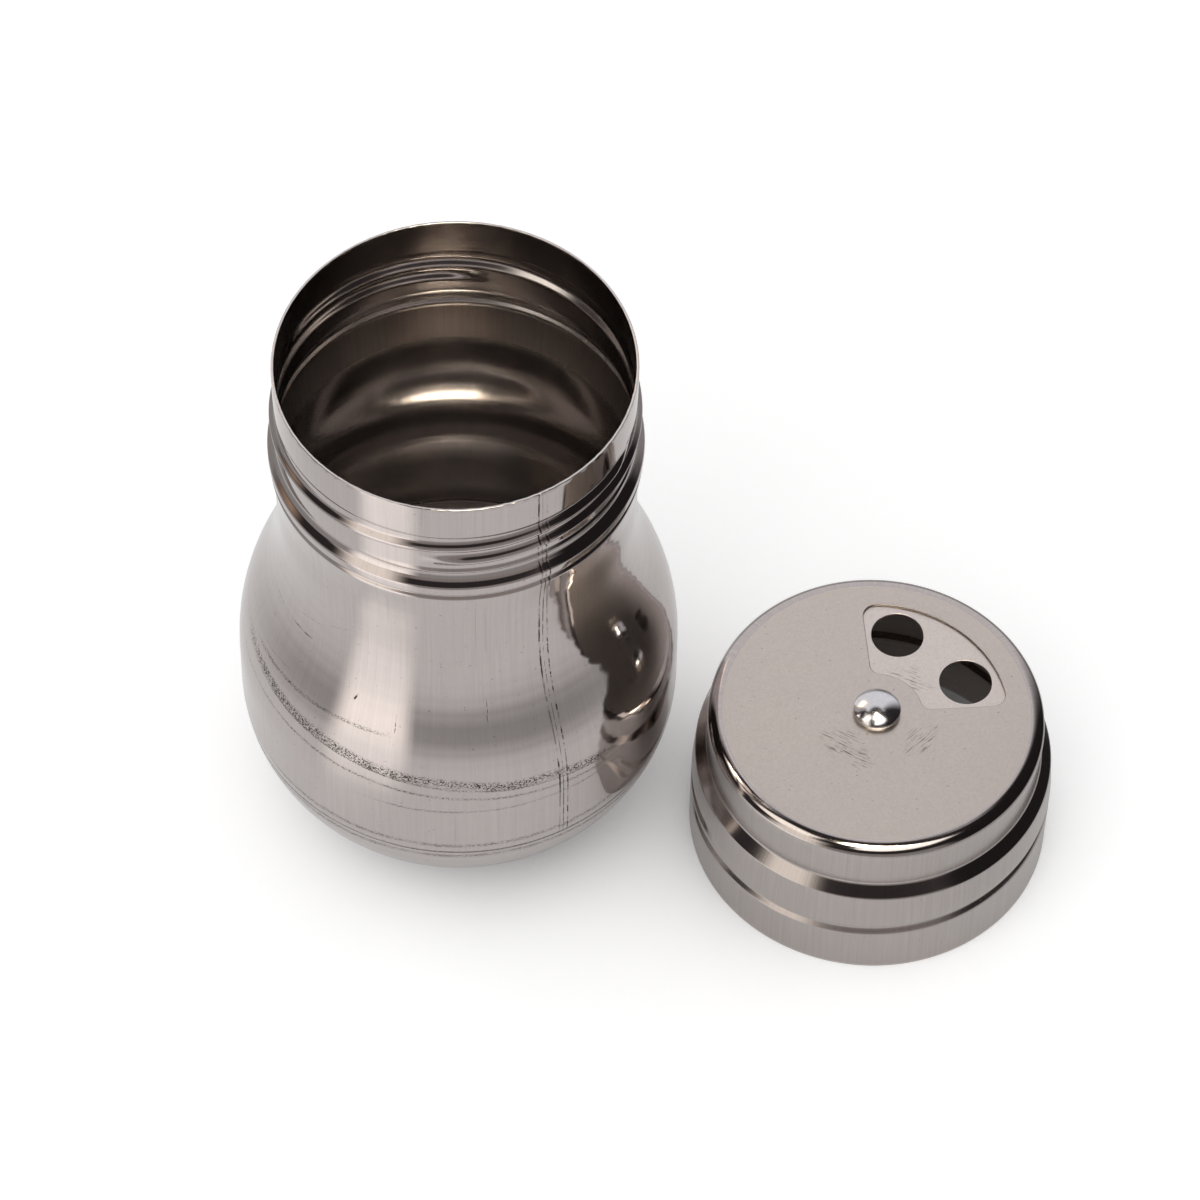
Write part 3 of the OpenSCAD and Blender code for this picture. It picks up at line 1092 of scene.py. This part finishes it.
    def base(self, outside: Material, within: Material) -> Piece:
        """Make the base dish.

        Args:
            outside: Finish of its outer face.
            within: Finish of its inner face, paler than the outer face's as painted light.

        Returns:
            The piece.
        """
        path, _ = cut_at(self.outline(), self.joint)
        inner = path + normals(path) * self.sheet
        inner[0, 0] = 0.0
        section = np.vstack([path, inner[::-1]])
        azimuths = around(COLUMN_STEP)
        rows = section[:, 1:]
        press = self.base_wave * ripple(11, azimuths, rows, (2, 5), (12, 30))
        radii = section[:, :1] + press * smooth(rows / 8) * smooth((self.joint - rows) / 3)
        radii[len(path) - 1] -= self.joint_groove
        sheet = Sheet("shaker_base")
        sheet.turn(radii, rows, azimuths, [0] * len(path) + [1] * (len(inner) - 1))
        return sheet.make([outside, within], "pot", ["pot_base"])


@dataclass
class Cap:
    """The drawn cap: plate, upper band, ledge and threaded skirt.

    The sizes are the part's own, in millimetres and degrees, about the cap's own axis.
    """

    axis: Spot
    height: float = 29.8
    sheet: float = 0.3
    crown: float = 26.9
    skirt: float = 29.1
    skirt_height: float = 19.0
    taper_height: float = 13.3
    taper: float = 0.4
    taper_rounding: float = 12.0
    ledge: float = 1.9
    crown_rounding: float = 1.6
    crown_in: float = 1.42
    crown_drop: float = 1.03
    crown_ease: float = 2.9
    ledge_rounding: float = 0.8
    pivot_hole: float = 1.52
    window_direction: float = 50.5
    window_span: float = 91.0
    window_outer: float = 21.0
    window_inner: float = 7.4
    window_outer_rounding: float = 2.3
    window_inner_rounding: float = 1.7
    groove_level: float = 8.4
    groove_reach: float = 1.5
    thread_low: float = 5.5
    thread_high: float = 15.5
    long_run: float = 0.9
    edge_break: float = 0.05
    window_roll: float = 0.12
    wave: float = 0.008
    wave_inset: float = 1.85
    thread: Thread = field(default_factory=lambda: Thread(
        starts=2, lead=6.4, run=210.0, direction=-178.0, height=8.9, half_width=1.35, depth=-0.8))

    def outline(self) -> np.ndarray:
        """Draw the outer face, from the skirt's raw edge up to the plate.

        Returns:
            The outline's points as rows of radius and height.
        """
        path = rounded([
            Corner(self.skirt, 0), Corner(self.skirt, self.taper_height, self.taper_rounding),
            Corner(self.skirt - self.taper, self.skirt_height, self.ledge_rounding),
            Corner(self.crown, self.skirt_height + self.ledge, self.ledge_rounding),
            Corner(self.crown, self.height - self.crown_drop, self.crown_rounding),
            Corner(self.crown - self.crown_in, self.height, self.crown_ease),
            Corner(self.pivot_hole, self.height)], step=5.0)
        return divided(path[:-1], lambda z: (
            FINE_RUN if self.thread_low < z < self.thread_high else self.long_run))

    def window_loop(self) -> np.ndarray:
        """Draw the window: two arcs, two radial sides and four rounded corners.

        Returns:
            Its points, seen from above.
        """
        half = math.radians(self.window_span / 2)
        r_out, r_in = self.window_outer, self.window_inner
        f_out, f_in = self.window_outer_rounding, self.window_inner_rounding
        t_out, t_in = math.asin(f_out / (r_out - f_out)), math.asin(f_in / (r_in + f_in))
        quarter = math.pi / 2

        def arc(centre: Spot, radius: float, start: float, end: float) -> list[list[float]]:
            """Draw an arc, with closer points on a small radius.

            Args:
                centre: Its centre.
                radius: Its radius.
                start: Angle of its first point, in radians.
                end: Angle of its last point.

            Returns:
                The points.
            """
            count = max(6, math.ceil(abs(end - start) * radius / 0.45))
            angles = np.linspace(start, end, count + 1)
            return [[centre[0] + radius * math.cos(a), centre[1] + radius * math.sin(a)] for a in angles]

        def at(radius: float, angle: float) -> Spot:
            """A place given by its distance and direction."""
            return radius * math.cos(angle), radius * math.sin(angle)

        points = arc((0, 0), r_out, t_out - half, half - t_out)
        points += arc(at(r_out - f_out, half - t_out), f_out, half - t_out, half + quarter)[1:]
        points += arc(at(r_in + f_in, half - t_in), f_in, half + quarter, half + 2 * quarter - t_in)
        points += arc((0, 0), r_in, half - t_in, t_in - half)[1:]
        points += arc(at(r_in + f_in, t_in - half), f_in, t_in - half - 2 * quarter, -half - quarter)[1:]
        points += arc(at(r_out - f_out, t_out - half), f_out, -half - quarter, t_out - half)[:-1]
        turn = math.radians(self.window_direction)
        spin = np.array([[math.cos(turn), math.sin(turn)], [-math.sin(turn), math.cos(turn)]])
        return np.array(points) @ spin

    def shell(self, outside: Material, plate: Material,
              within: Material, cut: Material) -> Piece:
        """Make the cap's shell.

        Args:
            outside: Finish of its bands.
            plate: Finish of its plate.
            within: Finish of its inner face.
            cut: Finish of the window's sheared edge, darkened as painted shade of the gap under the plate.

        Returns:
            The piece.
        """
        path = self.outline()
        inner = path + normals(path) * self.sheet
        inner[-1] = (path[-1, 0], self.height - self.sheet)
        inner[0, 1] = 0.0
        azimuths = around(COLUMN_STEP)
        rows = path[:, 1:]
        push = self.thread.push(rows, azimuths, self.groove_level, self.groove_reach)
        waves = self.wave * (ripple(21, azimuths, rows, (2, 6), (16, 40)) - self.wave_inset)
        push = push + waves * smooth((self.height - 2 - rows) / 3)
        break_edge = np.array([[self.skirt - self.edge_break, 0.0]])
        outer = np.vstack([break_edge, path])
        outer[1, 1] = self.edge_break
        sheet = Sheet("cap_shell_steel", self.axis)
        outer_push = np.vstack([push[:1], push])
        sheet.turn(outer[:, :1] + outer_push, outer[:, 1:], azimuths, [0] * (len(outer) - 1))
        section = np.vstack([inner[::-1], break_edge])
        inner_push = np.vstack([push[::-1], push[:1]])
        sheet.turn(section[:, :1] + inner_push, section[:, 1:], azimuths, [2] * (len(section) - 1))
        edge = circle(path[-1, 0], azimuths)
        loop = self.window_loop()
        pivot = circle(self.pivot_hole, np.radians(np.arange(0, TURN, PIVOT_STEP)))
        top, under = self.height, self.height - self.sheet
        # The window's edge takes slot 3, whose darker colour is painted shade of the gap between plate and
        # shutter.
        upper, lower = sheet.edge(loop, -1, under, top, 3, roll=self.window_roll)
        pivot_upper, pivot_lower = sheet.edge(pivot, -1, under, top, 1, roll=0.03)
        fill = self.fill(loop, path[-1, 0])
        sheet.flat(edge, [upper, pivot_upper], top, 1, fill)
        sheet.flat(edge, [lower, pivot_lower], under, 2, fill)
        return sheet.make([outside, plate, within, cut], "cap", ["cap_shell"])

    @staticmethod
    def fill(loop: np.ndarray, reach: float) -> np.ndarray:
        """Spread points over the plate, clear of the window.

        Args:
            loop: The window's outline.
            reach: Radius of the plate.

        Returns:
            The points.
        """
        points, first, margin, pitch, space = [], 2.6, 0.5, 1.6, 0.7
        for radius in np.arange(first, reach - margin, pitch):
            for angle in np.radians(np.arange(0, TURN, max(4.0, 90 / radius))):
                point = radius * np.array([math.cos(angle), math.sin(angle)])
                clear = np.linalg.norm(loop - point, axis=1).min() > space
                if clear and not inside(point, loop):
                    points.append(point)
        return np.array(points)


@dataclass
class Shutter:
    """The disc under the plate, with its pouring and sprinkling holes."""

    axis: Spot
    low: float = 29.0
    sheet: float = 0.4
    radius: float = 24.2
    pivot_hole: float = 1.55
    hole: float = 4.2
    hole_circle: float = 15.7
    hole_spread: float = 53.0
    sprinkle: float = 1.1
    sprinkle_pitch: float = 4.18
    sprinkle_row: int = 4
    direction: float = 50.5

    def loops(self) -> list[tuple[np.ndarray, float]]:
        """Draw the holes.

        Returns:
            Each hole's loop, with the rounding of its upper edge.
        """
        def hole(radius: float, distance: float, turn: float, step: float) -> np.ndarray:
            """Draw one round hole.

            Args:
                radius: Its radius.
                distance: Distance of its middle from the axis.
                turn: Direction of its middle, in degrees from the disc's own.
                step: Angle between two points, in degrees.

            Returns:
                The hole's loop.
            """
            angle = math.radians(turn + self.direction)
            middle = (distance * math.cos(angle), distance * math.sin(angle))
            return circle(radius, np.radians(np.arange(0, TURN, step)), middle)

        made = [(hole(self.pivot_hole, 0, 0, PIVOT_STEP), 0.03)]
        for side in (-1, 1):
            made.append((hole(self.hole, self.hole_circle, side * self.hole_spread / 2, 5.0), 0.12))
        for row in (-1, 0, 1):
            count = self.sprinkle_row - abs(row)
            distance = self.hole_circle + row * self.sprinkle_pitch
            step = 2 * math.degrees(math.asin(self.sprinkle_pitch / 2 / distance))
            for i in range(count):
                made.append((hole(self.sprinkle, distance, 180 + (i - (count - 1) / 2) * step, 12.0), 0.06))
        return made

    def disc(self, finish: Material) -> Piece:
        """Make the disc.

        Args:
            finish: Its finish.

        Returns:
            The piece.
        """
        sheet = Sheet("shutter_disc_steel", self.axis)
        high = self.low + self.sheet
        outer = circle(self.radius, np.radians(np.arange(0, TURN, 2.5)))
        outer_upper, outer_lower = sheet.edge(outer, 1, self.low, high, 0)
        uppers, lowers = [], []
        for loop, roll in self.loops():
            upper, lower = sheet.edge(loop, -1, self.low, high, 0, roll=roll)
            uppers.append(upper)
            lowers.append(lower)
        sheet.flat(outer_upper, uppers, high, 0)
        sheet.flat(outer_lower, lowers, self.low, 0)
        return sheet.make([finish], "shutter", ["shutter_disc"])


@dataclass
class Pivot:
    """The rivet that holds the shutter, and the spring washer on its tail."""

    axis: Spot
    plate_top: float = 29.8
    head: float = 3.8
    head_height: float = 2.45
    dome: float = 6.0
    dome_edge: float = 0.4
    head_undercut: float = 0.1
    shank: float = 1.5
    tail: float = 2.5
    tail_height: float = 0.8
    tail_top: float = 28.05
    dimple: float = 0.7
    dimple_flat: float = 0.25
    dimple_depth: float = 0.35
    column_step: float = 4.0
    washer: float = 4.8
    washer_sheet: float = 0.25
    washer_dish: float = 0.6
    washer_hole: float = 1.55
    washer_wave: float = 0.05

    def rivet(self, finish: Material) -> Piece:
        """Make the rivet.

        Args:
            finish: Its finish.

        Returns:
            The piece.
        """
        reach, flat = self.head - self.dome_edge, self.dome - self.dome_edge
        centre = self.plate_top + self.head_height - self.dome
        turn = math.asin(reach / flat)
        edge = centre + math.sqrt(flat ** 2 - reach ** 2)
        head = [(self.dome * math.sin(t), centre + self.dome * math.cos(t)) for t in np.linspace(0, turn, 24)]
        head += [(reach + self.dome_edge * math.sin(t), edge + self.dome_edge * math.cos(t))
                 for t in np.linspace(turn, math.pi / 2, 10)[1:]]
        bottom = self.tail_top - self.tail_height
        path = np.array(head + [(self.head, self.plate_top + self.head_undercut)])
        stem = rounded([
            Corner(self.head - self.head_undercut, self.plate_top), Corner(self.shank, self.plate_top, 0.1),
            Corner(self.shank, self.tail_top, 0.05), Corner(self.tail, self.tail_top, 0.2),
            Corner(self.tail, bottom, 0.3), Corner(self.dimple, bottom, 0.2),
            Corner(self.dimple_flat, bottom + self.dimple_depth, 0.2),
            Corner(0, bottom + self.dimple_depth)], step=15.0)
        section = np.vstack([path, stem[1:]])
        azimuths = around(self.column_step)
        sheet = Sheet("rivet_steel_dome", self.axis)
        sheet.turn(section[:, :1], section[:, 1:], azimuths, [0] * (len(section) - 1), reference=3.0)
        return sheet.make([finish], "cap", ["rivet"])

    def spring(self, finish: Material) -> Piece:
        """Make the spring washer.

        Args:
            finish: Its finish.

        Returns:
            The piece.
        """
        low, top = self.tail_top, self.tail_top + self.washer_dish
        upper = rounded([Corner(self.washer_hole, low + self.washer_sheet),
                         Corner(self.tail, low + self.washer_sheet, 1.5),
                         Corner(self.washer, top + self.washer_sheet)], step=6.0)
        upper = divided(upper, lambda z: 0.3)
        lower = np.column_stack([upper[:, 0], upper[:, 1] - self.washer_sheet])
        section = np.vstack([upper, lower[::-1]])
        azimuths = around(self.column_step)
        share = smooth((section[:, :1] - self.tail) / (self.washer - self.tail))
        wavy = section[:, 1:] - self.washer_wave * share * (0.5 + 0.5 * np.cos(3 * azimuths))
        sheet = Sheet("spring_washer_steel", self.axis)
        sheet.turn(section[:, :1], wavy, azimuths, [0] * len(section), closed=True, reference=4.0)
        return sheet.make([finish], "cap", ["spring_washer"])


# ---------------------------------------------------------------- studio


@dataclass(frozen=True)
class Panel:
    """A soft panel of light on the studio's dome.

    Attributes:
        azimuth: Direction of its middle, in degrees.
        half: Half its width, in degrees.
        low: Lower end above the horizon, in degrees.
        high: Upper end.
        edge: Width of its soft edges.
        colour: Its colour times its strength.
    """

    azimuth: float
    half: float
    low: float
    high: float
    edge: float
    colour: Colour


@dataclass
class Studio:
    """Camera, floor, lamps and the surroundings that the steel shows."""

    camera_place: tuple[float, float, float] = (22.410, -489.895, 727.365)
    pitch: float = 54.358
    roll: float = 1.2985
    lens: float = 159.35
    sensor: float = 36.0
    world_light: float = 0.55
    floor_size: float = 6.0
    floor_colour: Colour = (0.8, 0.8, 0.8)
    floor_glow: float = 0.5
    floor_reach: float = 0.05
    lamp_size: float = 1.2
    lamp_power: float = 7.0
    lamp_place: Colour = (-0.55, -0.75, 1.35)
    veil_height: float = 0.0004
    beam_share: float = 0.6
    dome_radius: float = 2.6
    # Painted shade and painted light of the table as the steel shows it: the table darkens away from the pot,
    # and a bright beam lies towards the front-left panel.
    far_table_shade_colour: Colour = (0.035, 0.028, 0.027)
    beam_azimuth: float = -126.0
    beam_half: float = 13.5
    beam_colour: Colour = (3.4, 3.15, 2.9)
    dome_colour: Colour = (0.040, 0.034, 0.036)
    card_colour: Colour = (0.020, 0.017, 0.018)
    card_height: float = 0.32
    card_line: tuple[Spot, ...] = (
        (0.117, 0.069), (0.135, 0.045), (0.160, 0.012), (0.185, -0.041), (0.196, -0.10),
        (0.200, -0.165), (0.202, -0.225))
    panels: tuple[Panel, ...] = (
        Panel(-70.0, 85.0, -20.0, 8.0, 6.0, (0.40, 0.36, 0.34)),
        Panel(-88.0, 42.0, 6.0, 22.0, 8.0, (0.34, 0.31, 0.30)),
        Panel(90.0, 72.0, 2.0, 70.0, 12.0, (0.92, 0.91, 0.94)),
        Panel(172.0, 10.0, 4.0, 22.0, 12.0, (0.50, 0.36, 0.26)),
        Panel(136.0, 15.0, 28.0, 46.0, 8.0, (3.0, 2.3, 1.7)),
        Panel(-62.0, 36.0, 53.0, 84.0, 6.0, (2.3, 2.21, 2.08)),
        Panel(-75.0, 38.0, 71.0, 97.0, 5.0, (20.0, 18.0, 15.0)),
        Panel(-150.0, 20.0, 44.0, 72.0, 10.0, (2.0, 1.88, 1.72)),
        Panel(-133.0, 14.0, -6.0, 52.0, 14.0, (1.35, 1.26, 1.15)),
    )

    def camera(self) -> None:
        """Set up the camera where the photograph was taken from."""
        data = bpy.data.cameras.new("studio_camera")
        data.sensor_width, data.lens = self.sensor, self.lens
        data.clip_start, data.clip_end = 0.01, 20.0
        camera = bpy.data.objects.new("studio_camera", data)
        bpy.context.scene.collection.objects.link(camera)
        bpy.context.scene.camera = camera
        e, r = math.radians(self.pitch), math.radians(self.roll)
        right, up = Vector((1, 0, 0)), Vector((0, math.sin(e), math.cos(e)))
        ahead = Vector((0, math.cos(e), -math.sin(e)))
        x = math.cos(r) * right + math.sin(r) * up
        y = math.cos(r) * up - math.sin(r) * right
        turn = Matrix((x, y, -ahead)).transposed().to_4x4()
        camera.matrix_world = Matrix.Translation(Vector(self.camera_place) * MM) @ turn

    @staticmethod
    def seen(graph: Graph) -> Socket:
        """Tell which rays see the background: from the camera, off metal or through glass.

        Args:
            graph: The tree.

        Returns:
            1 for those rays and 0 for the others.
        """
        path = graph.node("ShaderNodeLightPath")
        both = graph.sum("MAXIMUM", path.outputs["Is Camera Ray"], path.outputs["Is Glossy Ray"])
        return graph.sum("MAXIMUM", both, path.outputs["Is Transmission Ray"])

    def world(self) -> None:
        """Light the scene evenly, before a white background."""
        world = bpy.data.worlds.new("studio_world")
        bpy.context.scene.world = world
        world.use_nodes = True
        graph = Graph(world.node_tree)
        plain, white = (graph.node("ShaderNodeBackground", {"Color": WHITE, "Strength": strength}).outputs[0]
                        for strength in (self.world_light, 1.0))
        mix = graph.node("ShaderNodeMixShader", {0: self.seen(graph), 1: plain, 2: white})
        graph.node("ShaderNodeOutputWorld", {"Surface": mix.outputs[0]})

    def floor(self) -> None:
        """Lay a white floor that keeps the object's shadow."""
        material = new_material("studio_floor")
        graph = Graph(material.node_tree)
        matt = graph.node("ShaderNodeBsdfDiffuse", {"Color": (*self.floor_colour, 1)})
        open_sky = graph.node("ShaderNodeAmbientOcclusion", {"Distance": self.floor_reach}, samples=6)
        lit = graph.ease(open_sky.outputs["AO"], 0.02, 0.75)
        strength = graph.product(self.seen(graph), lit, self.floor_glow)
        glow = graph.node("ShaderNodeEmission", {"Strength": strength})
        graph.end(graph.node("ShaderNodeAddShader", {0: matt.outputs[0], 1: glow.outputs[0]}))
        self.level_sheet("studio_floor", self.floor_size, 0.0, material)

    @staticmethod
    def stage(name: str, points: Sequence[Colour], faces: Sequence[Sequence[int]],
              material: Material) -> Piece:
        """Make a piece of the studio.

        Args:
            name: Its name.
            points: Its points, in metres.
            faces: Its faces.
            material: Its material.

        Returns:
            The object.
        """
        mesh = bpy.data.meshes.new(name)
        mesh.from_pydata(list(points), [], list(faces))
        mesh.materials.append(material)
        made = bpy.data.objects.new(name, mesh)
        bpy.context.scene.collection.objects.link(made)
        return made

    def level_sheet(self, name: str, size: float, height: float,
                    material: Material) -> Piece:
        """Lay a square sheet, with half its side and its height in metres."""
        corners = [(x * size, y * size, height) for x, y in ((-1, -1), (1, -1), (1, 1), (-1, 1))]
        return self.stage(name, corners, [(0, 1, 2, 3)], material)

    @staticmethod
    def only_in_reflections(made: Piece) -> None:
        """Let only the steel see a card, which throws no light and no shadow.

        Args:
            made: The card.
        """
        made.visible_camera = False
        made.visible_diffuse = False
        made.visible_transmission = False
        made.visible_volume_scatter = False
        made.visible_shadow = False

    def dome(self) -> None:
        """Hang a dark dome with soft panels, which the steel shows and nothing else."""
        material = new_material("studio_dome")
        graph = Graph(material.node_tree)
        where = graph.vector("NORMALIZE", graph.node("ShaderNodeTexCoord").outputs["Object"])
        rise = graph.sum("DEGREES", graph.sum("ARCSINE", graph.parts(where)[2]))
        colour = graph.blend(0.0, self.dome_colour, self.dome_colour)
        for panel in self.panels:
            turn = graph.azimuth(where, panel.azimuth)
            share = graph.product(graph.window(turn, -panel.half, panel.half, panel.edge),
                                  graph.window(rise, panel.low, panel.high, panel.edge))
            colour = graph.blend(share, colour, panel.colour)
        self.glow(graph, colour)
        sides, rings = 96, 25
        points = [(self.dome_radius * math.cos(e) * math.cos(a),
                   self.dome_radius * math.cos(e) * math.sin(a), self.dome_radius * math.sin(e))
                  for e in np.linspace(0, math.radians(89.9), rings)
                  for a in np.linspace(0, 2 * math.pi, sides, endpoint=False)]
        self.only_in_reflections(self.stage("studio_dome", points, strips(rings, sides).tolist(), material))

    @staticmethod
    def glow(graph: Graph, colour: Socket, share: Socket | None = None) -> None:
        """End a card's tree.

        Args:
            graph: The tree.
            colour: Colour in which the card glows.
            share: How solid the card is, or nothing for a card without clear places.
        """
        light = graph.node("ShaderNodeEmission", {"Color": colour})
        if share is not None:
            clear = graph.node("ShaderNodeBsdfTransparent")
            light = graph.node("ShaderNodeMixShader", {0: share, 1: clear.outputs[0], 2: light.outputs[0]})
        graph.end(light)

    def veil(self) -> None:
        """Lay a veil over the table, seen only in the steel: painted shade that darkens the white the steel
        shows, most of all far from the pot, and a painted pool of light, the beam, towards the front-left
        panel.
        """
        material = new_material("studio_veil")
        graph = Graph(material.node_tree)
        where = graph.node("ShaderNodeTexCoord").outputs["Object"]
        far = graph.vector("LENGTH", graph.vector("MULTIPLY", where, (1.5, 1.0, 1.0)))
        turn = graph.azimuth(where, self.beam_azimuth)
        # Painted pool of light: the beam glows on the table towards the front-left panel, and the veil is
        # clearer there.
        beam = graph.product(graph.window(turn, -self.beam_half, self.beam_half, self.beam_half),
                             graph.ease(far, 0.055, 0.14))
        share = graph.product(graph.ease(far, 0.10, 0.28, 0.26, 0.68),
                              graph.sum("SUBTRACT", 1.0, graph.product(beam, self.beam_share)))
        self.glow(graph, graph.blend(beam, self.far_table_shade_colour, self.beam_colour), share)
        veil = self.level_sheet("studio_veil", self.dome_radius, self.veil_height, material)
        self.only_in_reflections(veil)

    def side_card(self) -> None:
        """Stand a dark card at the right of the table, with soft ends and a soft upper edge."""
        material = new_material("studio_side_card")
        graph = Graph(material.node_tree)
        _, y, z = graph.parts(graph.node("ShaderNodeTexCoord").outputs["Object"])
        share = graph.product(graph.ease(y, -0.225, -0.125), graph.ease(y, 0.028, 0.068, 1.0, 0.0),
                              graph.ease(z, 0.16, 0.32, 1.0, 0.0))
        self.glow(graph, graph.blend(0.0, self.card_colour, self.card_colour), share)
        points = [(x, y, z) for z in (0.0, self.card_height) for x, y in self.card_line]
        n = len(self.card_line)
        faces = [(i, i + 1, n + i + 1, n + i) for i in range(n - 1)]
        self.only_in_reflections(self.stage("studio_side_card", points, faces, material))

    def lamps(self) -> None:
        """Hang one large soft lamp that throws the object's shadow."""
        data = bpy.data.lights.new("studio_softbox", "AREA")
        data.shape, data.energy = "RECTANGLE", self.lamp_power
        data.size = data.size_y = self.lamp_size
        lamp = bpy.data.objects.new("studio_softbox", data)
        bpy.context.scene.collection.objects.link(lamp)
        lamp.location = self.lamp_place
        lamp.rotation_euler = (Vector((0, 0, 0)) - lamp.location).to_track_quat("-Z", "Y").to_euler()
        lamp.visible_glossy = False

    def build(self) -> None:
        """Set up everything but the camera."""
        self.world()
        self.floor()
        self.dome()
        self.veil()
        self.side_card()
        self.lamps()


# ---------------------------------------------------------------- the object


SATIN: Colour = (0.515, 0.467, 0.452)
BODY_FINISH = Steel(
    "body_steel", SATIN, roughness=0.08, spread=0.05, grain=Grain.UPRIGHT, depth=0.0008, fine=6.0,
    orange_peel=0.0015, mottle=0.16, streaks=0.26, pitting=0.45, brushed=0.8,
    polishes=(Polish(83.3, 110.0, 0.5, 0.06),),
    marks=(Speckle(42.6, 1.5, -104.0, 60.0, 1.6, 0.34, -0.06),
           Speckle(41.3, 0.35, -100.0, 52.0, 1.3, 0.22, -0.06),
           Speckle(39.3, 0.5, -104.0, 60.0, 1.0, 0.26, -0.045), Speckle(35.2, 0.4, -74.0, 36.0, 0.8, 0.22),
           Speckle(25.6, 0.8, -95.0, 70.0, 0.9, 0.3), Speckle(48.9, 0.6, -134.0, 24.0, 0.9, 0.24, 0.03),
           Speckle(23.6, 0.5, -90.0, 180.0, 1.4, 0.26),
           Seam(-60.0, 0.69, 0.22, 1.2),
           Scratch(-144.0, 58.7, 4.8, 88.0, 0.17, 1.3), Scratch(-158.0, 58.6, 5.4, 96.0, 0.09, 0.8),
           Scratch(-119.0, 54.3, 1.3, 22.0, 0.20, 1.3), Scratch(-106.0, 52.0, 2.8, 0.0, 0.10, 0.9),
           Scratch(-79.6, 55.4, 4.2, 0.0, 0.09, 0.8), Scratch(-141.0, 62.5, 6.0, 70.0, 0.08, 0.5),
           Scratch(-150.0, 50.0, 7.0, 82.0, 0.07, 0.5), Scratch(-128.0, 66.0, 5.0, 60.0, 0.07, 0.4)))
# Painted light: the inside is paler than the outer steel (SATIN), a brighter copy of the same sheet that
# lifts the highlights deep in the pot; its warm tint and lines are the steel's own.
INSIDE_LIT_FINISH = Steel(
    "inner_steel", (0.61, 0.57, 0.545), roughness=0.15, spread=0.06, grain=Grain.UPRIGHT, depth=0.002,
    fine=4.0, orange_peel=0.004, mottle=0.10, streaks=0.35, polishes=(Polish(75.0, 84.5, 3.0, 0.30),))
BASE_FINISH = Steel(
    "base_steel", SATIN, roughness=0.14, spread=0.05, grain=Grain.TURNED, depth=0.0016, fine=5.0,
    orange_peel=0.004, mottle=0.12, marks=(Speckle(22.2, 0.9, -90.0, 180.0, 1.1, 0.3),))
CAP_FINISH = Steel(
    "cap_steel", (0.47, 0.43, 0.412), roughness=0.23, spread=0.05, grain=Grain.UPRIGHT, depth=0.0030,
    fine=6.0, orange_peel=0.003, mottle=0.10, streaks=0.12, brushed=1.2,
    polishes=(Polish(19.0, 20.95, 0.3, 0.13), Polish(27.7, 31.0, 0.5, 0.08)))
PLATE_FINISH = Steel(
    "plate_steel", (0.535, 0.485, 0.448), roughness=0.34, spread=0.07, orange_peel=0.006, mottle=0.20,
    pitting=0.5,
    marks=(Scuff(-5.6, -6.3, 5.4, -28.0, 0.27, 0.6), Scuff(-2.6, -9.2, 3.8, -24.0, 0.27, 0.55),
           Scuff(6.9, -5.4, 4.8, 48.0, 0.25, 0.6)))
# Painted shade: the window's sheared edge is about half as bright as the plate, to draw the dark line of the
# gap between plate and shutter.
EDGE_SHADE_FINISH = Steel(
    "edge_steel_painted_shade", (0.26, 0.235, 0.22), roughness=0.30, spread=0.08, mottle=0.2)
CAP_INSIDE_FINISH = Steel(
    "cap_inner_steel", (0.56, 0.50, 0.46), roughness=0.24, spread=0.05, grain=Grain.TURNED, depth=0.002,
    fine=5.0, orange_peel=0.003, mottle=0.10)
SHUTTER_FINISH = Steel(
    "shutter_steel", (0.62, 0.565, 0.53), roughness=0.32, spread=0.07, orange_peel=0.005, mottle=0.16,
    pitting=0.45, marks=(Scuff(5.5, 6.6, 5.0, -20.0, 0.35, 0.5),))
RIVET_FINISH = Steel(
    "rivet_steel", (0.64, 0.63, 0.64), roughness=0.16, spread=0.08, orange_peel=0.003, mottle=0.22,
    pitting=0.5)
SPRING_FINISH = Steel(
    "spring_steel", (0.50, 0.485, 0.47), roughness=0.22, spread=0.05, grain=Grain.TURNED, depth=0.002,
    fine=6.0, mottle=0.08)


def main() -> None:
    """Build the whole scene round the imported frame."""
    logging.basicConfig(level=logging.INFO, format="%(name)s: %(message)s")
    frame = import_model()
    LOG.info("frame with nodes %s", sorted(frame["nodes"]))
    studio = Studio()
    studio.camera()

    low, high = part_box("cap_shell")
    middle = (low + high) / 2 / MM
    axis = (middle.x, middle.y)
    pot = Pot()
    pot.body(BODY_FINISH.material(), INSIDE_LIT_FINISH.material())
    pot.base(BASE_FINISH.material(), INSIDE_LIT_FINISH.material())
    cap = Cap(axis)
    cap.shell(CAP_FINISH.material(axis), PLATE_FINISH.material(axis), CAP_INSIDE_FINISH.material(axis),
              EDGE_SHADE_FINISH.material(axis))
    Shutter(axis).disc(SHUTTER_FINISH.material(axis))
    pivot = Pivot(axis)
    pivot.rivet(RIVET_FINISH.material(axis))
    pivot.spring(SPRING_FINISH.material(axis))

    studio.build()
    bpy.context.scene.view_settings.view_transform = "Standard"


if __name__ == "__main__":
    main()
